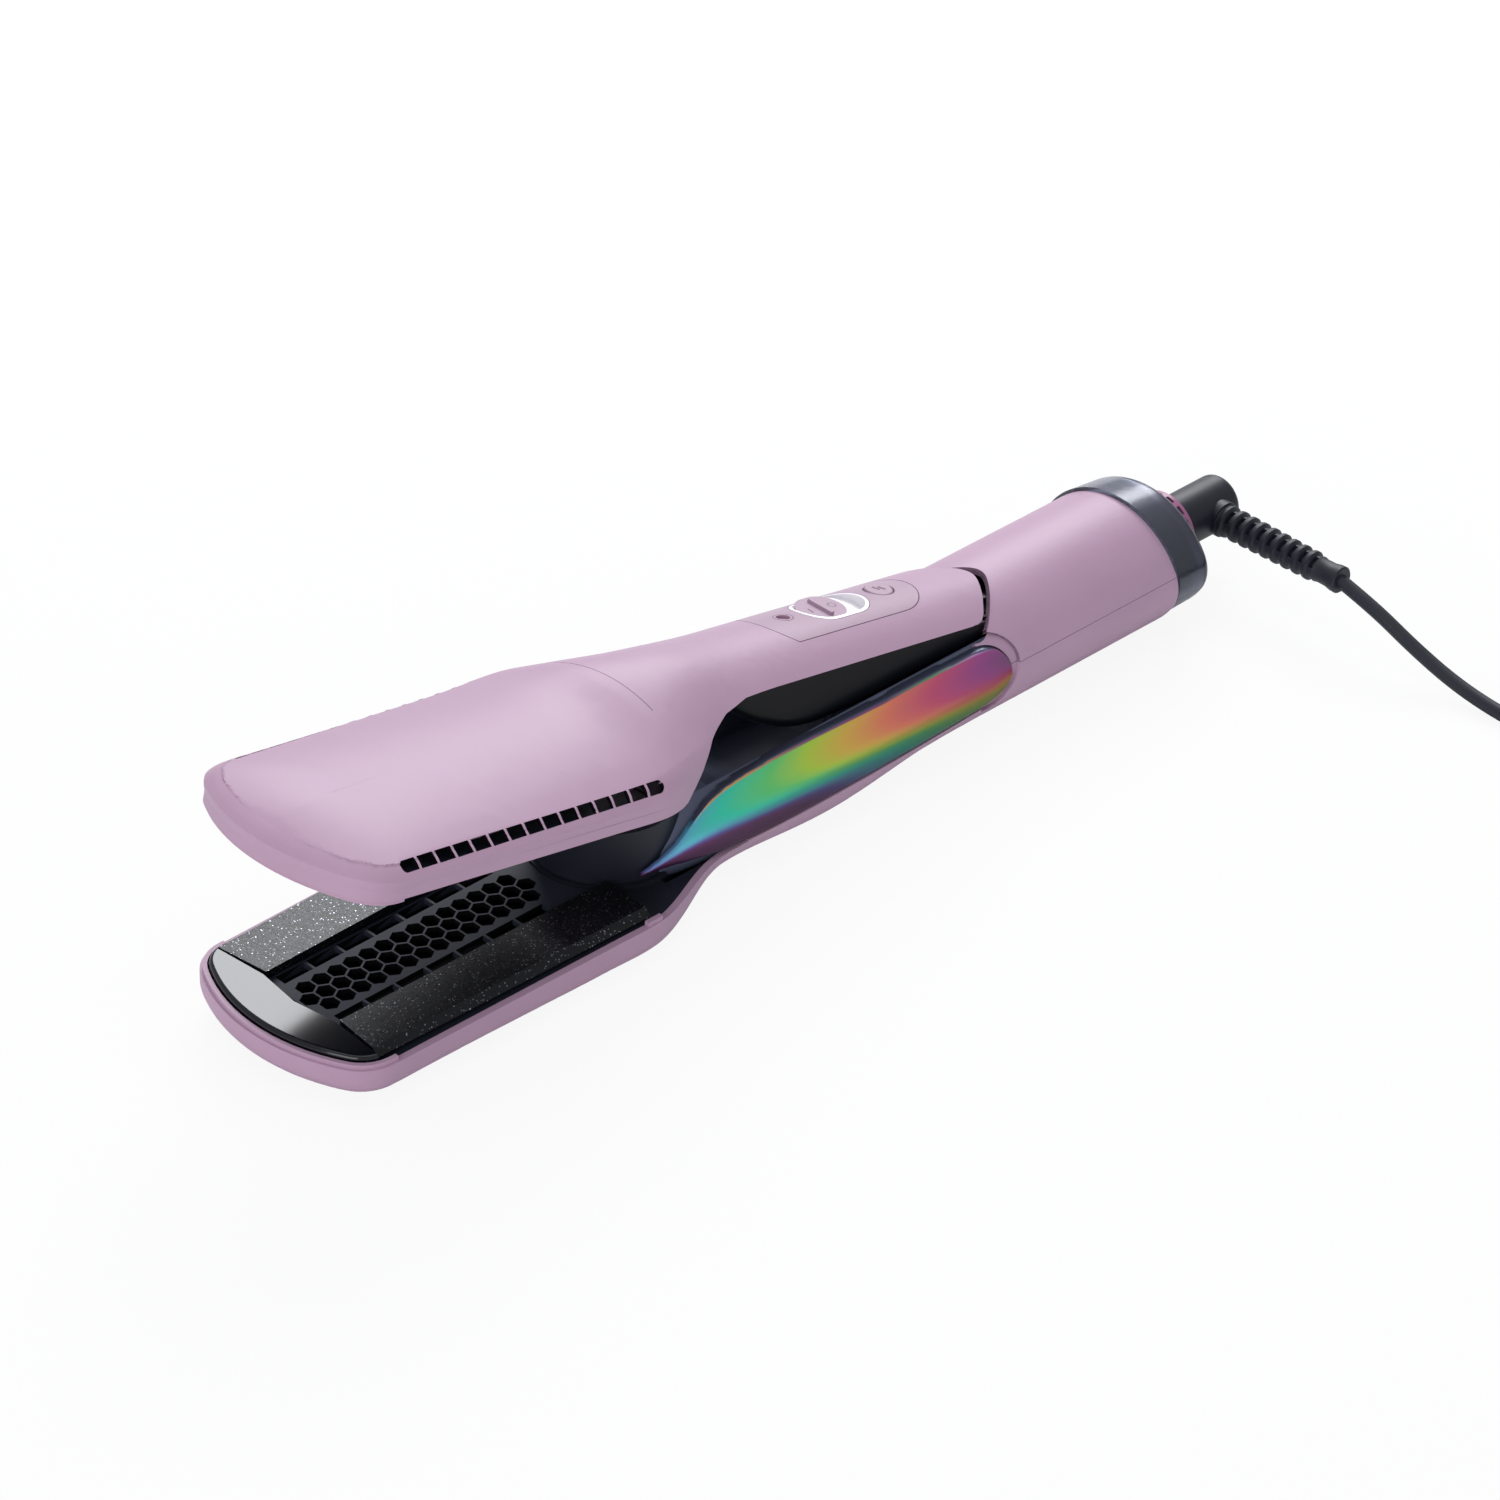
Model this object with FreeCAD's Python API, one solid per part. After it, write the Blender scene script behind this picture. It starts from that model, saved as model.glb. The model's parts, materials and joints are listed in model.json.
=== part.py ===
import FreeCAD, Part
import math
import os
from FreeCAD import Placement, Rotation, Vector

# A hot-air hair styler with two hinged arms. Millimetres, +Z up. The model is worked
# out with X = 0 at the nose and both arms closed, and moved and opened at the end.

# Casing outline in plan
NOSE_RADIUS = 55.65
NOSE_CORNER = 12.7
HEAD_FRONT_HALF = 33.55
HEAD_REAR_HALF = 34.87
HEAD_SIDE_START = 18.1
HEAD_REAR_X = 106.5
NECK_END_X = 142.0
HANDLE_HALF = 25.07
AXIS_Z = 18.535
SEAM_X = 318.0
WALL = 2.0
FIT = 0.05
FAN_DEPTH = 18.0
FAN_FADE = 52.0

# Casing sections: height of the side wall's end, corner radius and dome end along X
LOW_WALL = [(0, 9.3), (22, 9.3), (103, 8.2), (123, 10.3), (147, 14.8), (181, 12.7), (224, 17.7), (240, AXIS_Z)]
LOW_CORNER = [(0, 5.3), (103, 5.3), (123, 6.4), (147, 8.5), (181, 8.0), (224, 10.6), (240, 11.1)]
LOW_END = [(0, -0.8), (103, -0.8), (147, -0.34)]
HIGH_WALL = [(0, 18.8), (22, 19.1), (103, 20.4), (123, 20.6), (139, 19.9), (160, AXIS_Z)]
HIGH_CORNER = [(0, 5.3), (86, 5.3), (103, 6.4), (123, 9.5), (139, 11.1)]
HIGH_END = [(0, 26.8), (22, 27.8), (54, 29.4), (75, 30.6), (96, 31.8), (107, 33.2),
            (118, 36.3), (128, 37.9), (139, 38.5), (150, 38.0), (165, 37.4)]

# Core sections, which carry the grip panels, and the slate body inside them
CORE_FRONT_X = 112.0
CORE_END_X = 262.0
CORE_FRONT_HALF = 20.94
CORE_GROW_X = 109.7
CORE_FULL_X = 143.1
CORE_LOW_WALL = [(112, 14.8), (147, 14.8), (181, 12.7), (224, 17.7), (240, AXIS_Z)]
CORE_LOW_CORNER = [(112, 8.5), (147, 8.5), (181, 8.0), (224, 10.6), (240, 11.1)]
CORE_LOW_END = [(112, -0.34), (262, -0.34)]
CORE_HIGH_WALL = [(112, AXIS_Z), (262, AXIS_Z)]
CORE_HIGH_CORNER = [(112, 11.1), (262, 11.1)]
CORE_HIGH_END = [(112, 37.4), (262, 37.4)]
PANEL_THICK = 1.8
BODY_INSET = 2.2
PANEL_GAP = 0.35
SCOOP_DEPTH = 1.0

# Hinge and opening
HINGE_X = 263.4
HINGE_Z = 27.8
OPEN_DEG = 10.75
PIN_R = 2.0
PIN_FIT = 0.05
KNUCKLE_R = 3.3
KNUCKLE_HALF = 10.5
LUG_GAP = 0.3
LUG_THICK = 3.0
SPRING_HALF = 4.0

# Arm head levels
MEET_Z = 14.19
RIM_DROP = 1.33
LIP_GAP = 0.05
LIP_OUTER = 0.7
LIP_INNER = 1.9
LIP_END_X = 19.6
TAB_X0 = 104.4
TAB_X1 = 109.5
STACK_RECESS = 3.5

# Tray, grill, plates
TRAY_TOP = 12.6
TRAY_THICK = 1.7
TRAY_INSET = 2.25
TRAY_END_X = 137.0
GRILL_TOP = 13.5
GRILL_THICK = 1.6
GRILL_HALF = 13.6
GRILL_FRONT_X = 16.5
GRILL_SKIRT = 1.1
CELL_FLATS = 4.4
CELL_WALL = 0.9
CELL_FIRST_X = 19.61
CELL_COUNT = 15
CHANNEL_IN = 9.3
CHANNEL_OUT = 12.7
CHANNEL_X0 = 19.6
CHANNEL_PITCH = 10.3
CHANNEL_RIB = 1.1
CHANNEL_COUNT = 7
PLATE_TOP = 15.8
PLATE_THICK = 2.2
PLATE_BEVEL = 2.0
PLATE_FRONT_IN = (17.3, 13.8)
PLATE_REAR_IN = (107.4, 15.1)
PLATE_FRONT_OUT = (15.4, 29.7)
PLATE_REAR_OUT = (107.4, 32.1)
PLATE_TRAVEL = 0.55
CARRIER_THICK = 2.4
CARRIER_MARGIN = 2.4
HEATER_THICK = 1.1
HEATER_HALF = 4.5
CUSHION_THICK = 1.0
CUSHION_GAP = 0.7
RAIL_THICK = 1.0
RAIL_X0 = 36.0
RAIL_X1 = 92.0
RAIL_IN = 17.5
RAIL_OUT = 26.0
LEG_R = 1.5
SEAT = 0.3

# Duct tower
TOWER_X = 121.7
TOWER_R = 19.9
TOWER_WALL = 1.8
TOWER_TOP = 29.6
TOWER_FOOT = 3.4
FOOT_RING_R = 21.3
FOOT_RING_RISE = 1.4
TOWER_MOUTH_R = 12.0
GASKET_RISE = 1.2

# Side slots of the arm
SLOT_COUNT = 15
SLOT_X0 = 18.1
SLOT_PITCH = 5.99
SLOT_RIB = 0.8
SLOT_SKIN = 0.9
SLOT_FRONT = (31.0, 22.7, 55.0, 3.1)
SLOT_REAR = (32.9, 24.4, 47.0, 3.5)

# Controls on the arm, a little to the far side of its centre line
CONTROL_Y = 5.0
INLAY_X0 = 178.0
INLAY_X1 = 236.0
INLAY_HALF = 12.2
INLAY_DEEP = 0.9
INLAY_FIT = 0.08
BEZEL_X = 206.0
BEZEL_LONG = 24.0
BEZEL_WIDE = 16.0
BEZEL_WALL = 1.0
BEZEL_DEEP = 3.2
SLIDER_LONG = 15.0
SLIDER_WIDE = 12.6
SLIDER_TRAVEL = 3.5
BUTTON_X = 225.5
BUTTON_R = 4.0
BUTTON_FIT = 0.2
BUTTON_TRAVEL = 0.8
INDICATOR_X = 188.0
INDICATOR_R = 2.6

# Barrel contents
MOTOR_R = 13.0
MOTOR_X0 = 276.0
MOTOR_X1 = 300.0
CRADLE_WALL = 1.8
SHAFT_R = 1.5
IMPELLER_X0 = 302.0
IMPELLER_X1 = 311.0
IMPELLER_R = 14.5
IMPELLER_HUB = 4.0
BLADES = 9
BOARD_Y = 17.4
BOARD_THICK = 1.6
BOARD_HALF = 7.4
POST_Z = 4.0
POST_R = 1.4
FILTER_X = 313.5
FILTER_R = 13.0
FILTER_RIM = 1.8

# Rear cap, intake and cord exit
CAP_X0 = 318.3
CAP_X1 = 332.6
CAP_INSET = 0.9
CAP_WALL = 2.2
CAP_ROUND = 3.0
CORE_INSET = 4.6
INTAKE_R = 11.4
INTAKE_WALL = 2.6
INTAKE_X1 = 340.6
INTAKE_WINDOWS = 16
ELBOW_R = 7.9
ELBOW_X0 = 341.0
ELBOW_X1 = 364.5
STUB_R = 5.9
RELIEF_X = 356.7
RELIEF_START = 7.0
RELIEF_LONG = 43.0
RELIEF_R0 = 4.4
RELIEF_R1 = 3.3
RIB_COUNT = 10
RIB_DEEP = 0.9

# Cord
CORD_R = 2.1
CORD_RUN = [(356.7, -50.0, 18.5), (356.9, -63.0, 15.2), (357.3, -78.0, 8.9), (357.6, -93.0, 4.2),
            (357.8, -108.0, 2.15), (358.0, -122.0, 2.1), (358.0, -136.0, 2.1)]
COIL_R = 31.8
COIL_PITCH = 4.7
COIL_LAYERS = 4
LAYER_HALF_TURNS = 7
TAIL_STEP = 12.0
TAIL_TURN = 30.0
TAIL_DROPS = (0.0, 0.5, 2.6, 5.6, 8.0, 9.0, 9.3)
PLUG_LONG = 34.0
PLUG_WIDE = 35.0
PLUG_HIGH = 13.7
PLUG_PIN_R = 2.4
PLUG_PIN_LONG = 19.0
PLUG_PIN_GAP = 19.0

FAR = 60.0
SHIFT_X = -ELBOW_X1 / 2


def smooth(t):
    t = min(max(t, 0.0), 1.0)
    return t * t * (3 - 2 * t)


def through(stations):
    """A smooth monotone curve through the stations, held at both ends."""
    xs = [s[0] for s in stations]
    ys = [s[1] for s in stations]
    last = len(xs) - 1
    slopes = [(ys[i + 1] - ys[i]) / (xs[i + 1] - xs[i]) for i in range(last)]
    tangents = [0.0] * (last + 1)
    for i in range(1, last):
        a, b = slopes[i - 1], slopes[i]
        tangents[i] = 0.0 if a * b <= 0 else 2 * a * b / (a + b)

    def value(x):
        if x <= xs[0]:
            return ys[0]
        if x >= xs[-1]:
            return ys[-1]
        i = max(k for k in range(last) if xs[k] <= x)
        width = xs[i + 1] - xs[i]
        t = (x - xs[i]) / width
        ends = ys[i] * (1 + 2 * t) * (1 - t) ** 2 + ys[i + 1] * t * t * (3 - 2 * t)
        return ends + width * (tangents[i] * t * (1 - t) ** 2 - tangents[i + 1] * t * t * (1 - t))

    return value


LOW_LAW = (through(LOW_WALL), through(LOW_CORNER), through(LOW_END))
HIGH_LAW = (through(HIGH_WALL), through(HIGH_CORNER), through(HIGH_END))
CORE_LOW_LAW = (through(CORE_LOW_WALL), through(CORE_LOW_CORNER), through(CORE_LOW_END))
CORE_HIGH_LAW = (through(CORE_HIGH_WALL), through(CORE_HIGH_CORNER), through(CORE_HIGH_END))


# Plain shapes

def box(x0, x1, y0, y1, z0, z1):
    return Part.makeBox(x1 - x0, y1 - y0, z1 - z0, Vector(x0, y0, z0))


def rod(start, end, radius):
    start = Vector(*start)
    run = Vector(*end) - start
    return Part.makeCylinder(radius, run.Length, start, run)


def tube(start, end, outer, inner):
    return rod(start, end, outer).cut(rod(start, end, inner))


def side_prism(points, half=FAR):
    """A side-view outline (X, Z) carried across the part."""
    loop = [Vector(x, -half, z) for x, z in points]
    face = Part.Face(Part.makePolygon(loop + loop[:1]))
    return face.extrude(Vector(0, 2 * half, 0))


def plan_prism(points, z0, z1):
    loop = [Vector(x, y, z0) for x, y in points]
    face = Part.Face(Part.makePolygon(loop + loop[:1]))
    return face.extrude(Vector(0, 0, z1 - z0))


def mirrored(shape):
    return shape.mirror(Vector(0, 0, 0), Vector(0, 1, 0))


def joined(shapes):
    return shapes[0].multiFuse(shapes[1:]).removeSplitter() if len(shapes) > 1 else shapes[0]


def both(shape):
    return joined([shape, mirrored(shape)])


def one_solid(shape):
    """The largest solid of a cut, without the crumbs of thin overlaps."""
    return max(shape.Solids, key=lambda s: s.Volume)


def stadium(x, y, length, width, z0, z1):
    reach = (length - width) / 2
    shapes = [box(x - reach, x + reach, y - width / 2, y + width / 2, z0, z1)]
    shapes += [rod((x + s * reach, y, z0), (x + s * reach, y, z1), width / 2) for s in (-1, 1)]
    return joined(shapes)


# Casing skins: a fan of section profiles round the outline, closed to a solid quarter

def head_half(x):
    if x < HEAD_REAR_X:
        share = (x - HEAD_SIDE_START) / (HEAD_REAR_X - HEAD_SIDE_START)
        return HEAD_FRONT_HALF + (HEAD_REAR_HALF - HEAD_FRONT_HALF) * share
    share = smooth((x - HEAD_REAR_X) / (NECK_END_X - HEAD_REAR_X))
    return HANDLE_HALF + (HEAD_REAR_HALF - HANDLE_HALF) * (1 - share)


def core_half(x):
    share = smooth((x - CORE_GROW_X) / (CORE_FULL_X - CORE_GROW_X))
    return CORE_FRONT_HALF + (HANDLE_HALF - CORE_FRONT_HALF) * share


CORNER_W = HEAD_FRONT_HALF - NOSE_CORNER
CORNER_X = NOSE_RADIUS - math.sqrt((NOSE_RADIUS - NOSE_CORNER) ** 2 - CORNER_W ** 2)
NOSE_TURN = math.asin(CORNER_W / (NOSE_RADIUS - NOSE_CORNER))


def beside(half, x, inset):
    """The outline point at x, moved inwards along the outline's normal."""
    step = 0.01
    slope = (half(x + step) - half(x - step)) / (2 * step)
    size = math.hypot(1, slope)
    return (x + inset * slope / size, half(x) - inset / size)


def casing_columns(inset):
    """Outline points from the nose to the seam, each with its fan centre."""
    nose = []
    for i in range(5):
        a = NOSE_TURN * i / 5
        r = NOSE_RADIUS
        nose.append((r - r * math.cos(a), r * math.sin(a),
                     r - (r - inset) * math.cos(a), (r - inset) * math.sin(a)))
    for i in range(7):
        a = NOSE_TURN + (math.pi / 2 - NOSE_TURN) * i / 6
        r = NOSE_CORNER
        nose.append((CORNER_X - r * math.cos(a), CORNER_W + r * math.sin(a),
                     CORNER_X - (r - inset) * math.cos(a), CORNER_W + (r - inset) * math.sin(a)))
    lengths = [0.0]
    for a, b in zip(nose, nose[1:]):
        lengths.append(lengths[-1] + math.hypot(b[0] - a[0], b[1] - a[1]))
    first = 24.0
    columns = []
    for (x, w, xi, wi), s in zip(nose, lengths):
        centre = first + (CORNER_X + FAN_DEPTH - first) * s / lengths[-1]
        columns.append(((x, w), (xi, wi), centre))
    xs = [CORNER_X + (HEAD_REAR_X - CORNER_X) * i / 8 for i in range(1, 8)]
    xs += [HEAD_REAR_X + (146 - HEAD_REAR_X) * i / 9 for i in range(9)]
    xs += [146 + (240 - 146) * i / 7 for i in range(7)]
    xs += [240 + (SEAM_X - 240) * i / 4 for i in range(5)]
    for x in xs:
        centre = x + FAN_DEPTH * (1 - smooth((x - CORNER_X) / FAN_FADE))
        columns.append(((x, head_half(x)), beside(head_half, x, inset), centre))
    return columns


def core_columns(inset):
    count = 18
    xs = [CORE_FRONT_X + (CORE_END_X - CORE_FRONT_X) * (i / count) for i in range(count + 1)]
    columns = [((x, core_half(x)), beside(core_half, x, inset), x) for x in xs]
    columns[0] = (columns[0][0], (xs[0], columns[0][1][1]), xs[0])
    return columns


def profile(reach, wall, corner, end, inset, up):
    """Radius and height of one section: side wall, corner arc and dome arc."""
    across, along = 8, 6
    radius = corner - inset
    side = abs(wall - AXIS_Z)
    rise = abs(end - wall) - inset
    dome = ((reach - radius) ** 2 + rise * rise - radius * radius) / (2 * (rise - radius))
    meet = math.asin((dome - rise) / (dome - radius))
    sign = 1 if up else -1
    total = side + radius * meet
    points = []
    for k in range(across + 1):
        s = total * k / across
        if s <= side:
            points.append((reach, AXIS_Z + sign * s))
        else:
            a = (s - side) / radius
            points.append((reach - radius + radius * math.cos(a), wall + sign * radius * math.sin(a)))
    for k in range(1, along + 1):
        a = meet + (math.pi / 2 - meet) * k / along
        points.append((dome * math.cos(a), wall + sign * (rise - dome + dome * math.sin(a))))
    points[-1] = (0.0, wall + sign * rise)
    return points


def interpolated(points, parameters):
    curve = Part.BSplineCurve()
    curve.interpolate(Points=points, Parameters=parameters)
    return curve


def planar(edges):
    return Part.Face(Part.Wire(Part.__sortEdges__(edges)))


def quarter_skin(columns, law, inset, up):
    """The near quarter of a casing, from its mid plane out to the skin, as a solid."""
    wall, corner, end = law
    fan = []
    for (x, w), (xi, wi), centre in columns:
        reach = math.hypot(xi - centre, wi)
        ux, uw = (xi - centre) / reach, wi / reach
        section = profile(reach, wall(x), corner(x), end(centre if up else x), inset, up)
        fan.append([Vector(centre + r * ux, -r * uw, z) for r, z in section])
    us = [0.0]
    for (a, _, _), (b, _, _) in zip(columns, columns[1:]):
        us.append(us[-1] + math.hypot(b[0] - a[0], b[1] - a[1]))
    us = [u / us[-1] for u in us]
    vs = [0.55 * k / 8 for k in range(9)] + [0.55 + 0.45 * k / 6 for k in range(1, 7)]
    rows = [interpolated([column[j] for column in fan], us) for j in range(len(vs))]
    poles = [row.getPoles() for row in rows]
    rises = [interpolated([pole[i] for pole in poles], vs) for i in range(len(poles[0]))]
    grid = [rise.getPoles() for rise in rises]
    surface = Part.BSplineSurface()
    surface.buildFromPolesMultsKnots(grid, rows[0].getMultiplicities(), rises[0].getMultiplicities(),
                                     rows[0].getKnots(), rises[0].getKnots(), False, False, 3, 3)
    front, rear = surface.uIso(0.0).toShape(), surface.uIso(1.0).toShape()
    low, high = surface.vIso(0.0).toShape(), surface.vIso(1.0).toShape()
    faces = [surface.toShape()]
    end_x = surface.value(1, 0).x
    back = Vector(end_x, 0, AXIS_Z)
    start_side = surface.value(0, 0)
    faces.append(planar([rear, Part.makeLine(back, surface.value(1, 1)), Part.makeLine(back, surface.value(1, 0))]))
    if abs(start_side.y) < 1e-6:
        start = start_side
        faces.append(planar([front, high, Part.makeLine(back, surface.value(1, 1)), Part.makeLine(start, back)]))
        faces.append(planar([low, Part.makeLine(back, surface.value(1, 0)), Part.makeLine(start, back)]))
    else:
        start = Vector(start_side.x, 0, AXIS_Z)
        to_side = Part.makeLine(start, start_side)
        to_high = Part.makeLine(start, surface.value(0, 1))
        spine = Part.makeLine(start, back)
        faces.append(planar([front, to_side, to_high]))
        faces.append(planar([high, to_high, spine, Part.makeLine(back, surface.value(1, 1))]))
        faces.append(planar([low, to_side, spine, Part.makeLine(back, surface.value(1, 0))]))
    shell = Part.Shell(faces)
    shell.sewShape()
    solid = Part.Solid(shell)
    if solid.Volume < 0:
        solid.reverse()
    return solid


def full_skin(columns, low_law, high_law, inset):
    low = both(quarter_skin(columns, low_law, inset, False))
    high = both(quarter_skin(columns, high_law, inset, True))
    return low.fuse(high)


def dome_z(x, y, inset, up):
    """Height of the casing's dome at a place, for what stands on or under it."""
    wall, corner, end = HIGH_LAW if up else LOW_LAW
    reach = head_half(x) - inset
    radius = corner(x) - inset
    rise = abs(end(x) - wall(x)) - inset
    dome = ((reach - radius) ** 2 + rise * rise - radius * radius) / (2 * (rise - radius))
    height = rise - dome + math.sqrt(dome * dome - y * y)
    return wall(x) + height if up else wall(x) - height


# Outlines in plan: the head's outline inset, and the plates

def half_outline(inset, end_x):
    """Edges of the near half of the head outline, from the nose to end_x."""
    def at(x, w):
        return Vector(x, -w, 0)
    r = NOSE_RADIUS - inset
    nose = Vector(inset, 0, 0)
    mid = at(NOSE_RADIUS - r * math.cos(NOSE_TURN / 2), r * math.sin(NOSE_TURN / 2))
    turn = at(NOSE_RADIUS - r * math.cos(NOSE_TURN), r * math.sin(NOSE_TURN))
    c = NOSE_CORNER - inset
    half_turn = (NOSE_TURN + math.pi / 2) / 2
    corner_mid = at(CORNER_X - c * math.cos(half_turn), CORNER_W + c * math.sin(half_turn))
    corner_end = at(CORNER_X, CORNER_W + c)
    edges = [Part.Arc(nose, mid, turn).toShape(), Part.Arc(turn, corner_mid, corner_end).toShape()]
    side_x = min(end_x, HEAD_REAR_X)
    side_end = at(side_x, head_half(side_x) - inset)
    edges.append(Part.makeLine(corner_end, side_end))
    if end_x > HEAD_REAR_X:
        count = 6
        points = [side_end]
        for i in range(1, count + 1):
            x = HEAD_REAR_X + (end_x - HEAD_REAR_X) * i / count
            points.append(at(x, head_half(x) - inset))
        curve = Part.BSplineCurve()
        curve.interpolate(points)
        edges.append(curve.toShape())
        side_end = points[-1]
    edges.append(Part.makeLine(side_end, Vector(end_x, 0, 0)))
    edges.append(Part.makeLine(Vector(end_x, 0, 0), nose))
    return edges


def head_slab(inset, end_x, z0, z1):
    face = planar(half_outline(inset, end_x))
    slab = face.extrude(Vector(0, 0, z1 - z0))
    slab.translate(Vector(0, 0, z0))
    return both(slab)


def plate_corners(margin):
    (ax, ay), (bx, by) = PLATE_FRONT_IN, PLATE_REAR_IN
    (cx, cy), (dx, dy) = PLATE_FRONT_OUT, PLATE_REAR_OUT
    return [(ax + margin, -ay - margin), (bx - margin, -by - margin),
            (dx - margin, -dy + margin), (cx + margin, -cy + margin)]


def turned_up(shape, lift):
    """The copy of a lower-arm piece for the upper arm, upside down."""
    copy = shape.mirror(Vector(0, 0, MEET_Z + lift / 2), Vector(0, 0, 1))
    return copy


# The grip panel and what follows its edge, seen from the side

PANEL_TOP = [(114.4, 16.8), (119.5, 18.8), (127, 22.4), (135, 26.7), (142, 28.9), (152, 29.9),
             (165, 30.3), (205, 29.8), (236, 29.7)]
PANEL_REAR = [(243, 29.4), (249.3, 27.4), (251.5, 23.0), (249.5, 18.5), (244, 15.6)]
PANEL_LOW = [(236, 14.5), (205, 13.9), (160, 13.7), (143, 14.6), (130, 15.7), (120, 16.4)]
PARTING_Z = 23.04
PARTING_GAP = 0.16


def side_curve(points, start=None, finish=None):
    """A side-view curve through points, with given end directions or free ends."""
    curve = Part.BSplineCurve()
    places = [Vector(x, -FAR, z) for x, z in points]
    if start:
        curve.interpolate(Points=places, InitialTangent=Vector(start[0], 0, start[1]),
                          FinalTangent=Vector(finish[0], 0, finish[1]))
    else:
        curve.interpolate(places)
    return curve.toShape()


def moved_out(edge, gap, count=9):
    """The curve beside a side-view curve, at a gap on its left."""
    first, last = edge.ParameterRange
    points, ways = [], []
    for i in range(count):
        at = first + (last - first) * i / (count - 1)
        way = edge.tangentAt(at)
        points.append(edge.valueAt(at) + Vector(-way.z, 0, way.x) * gap)
        ways.append(way)
    curve = Part.BSplineCurve()
    curve.interpolate(Points=points, InitialTangent=ways[0], FinalTangent=ways[-1])
    return curve.toShape()


def across(outline):
    prism = Part.Face(outline).extrude(Vector(0, 2 * FAR, 0))
    if prism.Volume < 0:
        prism.reverse()
    return prism


def panel_prism(grow):
    """The panel's outline carried across, grown by a gap."""
    tip, top_end, low_end = PANEL_TOP[0], PANEL_TOP[-1], PANEL_LOW[0]
    ahead, back = (1, -0.02), (-1, -0.06)
    top = side_curve(PANEL_TOP, (1, 0.42), ahead)
    rear = side_curve([top_end] + PANEL_REAR + [low_end], ahead, back)
    low = side_curve(PANEL_LOW + [tip], back, (-1, 0.08))
    edges = [top, rear, low]
    if grow:
        edges = [moved_out(edge, grow) for edge in edges]
        edges.append(Part.makeLine(edges[-1].valueAt(edges[-1].LastParameter), edges[0].valueAt(edges[0].FirstParameter)))
    return across(Part.Wire(edges))


SCOOP = [(240, 32.3), (244.6, 32.5), (249.1, 31.5), (252.8, 29.3), (254.7, 25.4), (253.9, 22.35),
         (250.7, 17.8), (247, 14.0), (240, 13.0)]


def scoop_prism():
    top, low = SCOOP[0], SCOOP[-1]
    inside = [top, (238, 25), (238, 20), low]
    lines = [Part.makeLine(Vector(a[0], -FAR, a[1]), Vector(b[0], -FAR, b[1])) for a, b in zip(inside, inside[1:])]
    return across(Part.Wire([side_curve(SCOOP)] + lines[::-1]))


# Plan curves of the arm's end and the barrel's front edge
ARM_END = [(242, 16.3), (245.4, 15.8), (247.4, 14.6), (249.2, 12.7), (251.6, 10), (254, 6.7), (257, 0)]
BARREL_FRONT = [(243.3, 17), (248.5, 16.4), (251.4, 14.4), (254, 12.2), (257, 9.4), (260, 6), (263, 0)]


def ahead_of(curve, side, low):
    """Everything in front of a U-shaped plan curve, from a height up."""
    points = [Vector(x, -w, low) for x, w in curve]
    points += [Vector(x, w, low) for x, w in reversed(curve[:-1])]
    bend = Part.BSplineCurve()
    bend.interpolate(points)
    a, b = points[0], points[-1]
    corners = [b, Vector(b.x, side, low), Vector(-10, side, low), Vector(-10, -side, low), Vector(a.x, -side, low), a]
    edges = [bend.toShape()] + [Part.makeLine(p, q) for p, q in zip(corners, corners[1:]) if (p - q).Length > 1e-6]
    return Part.Face(Part.Wire(edges)).extrude(Vector(0, 0, 50 - low))


LOWER_TOP_EDGE = [(TAB_X1, MEET_Z - RIM_DROP), (147, 13.35)]
ARM_LOW_EDGE = [(117, 15.52), (119.6, 16.0), (123.5, 19.3), (128, 23.2), (133.7, 26.9), (142.7, 30.3),
                (152.1, 31.7), (244, 31.9), (264, 31.9)]


# Pieces

nodes = {}


def add(name, shape, on_arm=False):
    if on_arm:
        shape = shape.copy()
        shape.rotate(Vector(HINGE_X, 0, HINGE_Z), Vector(0, 1, 0), OPEN_DEG)
    shape = shape.copy()
    shape.translate(Vector(SHIFT_X, 0, 0))
    nodes[name] = shape


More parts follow.
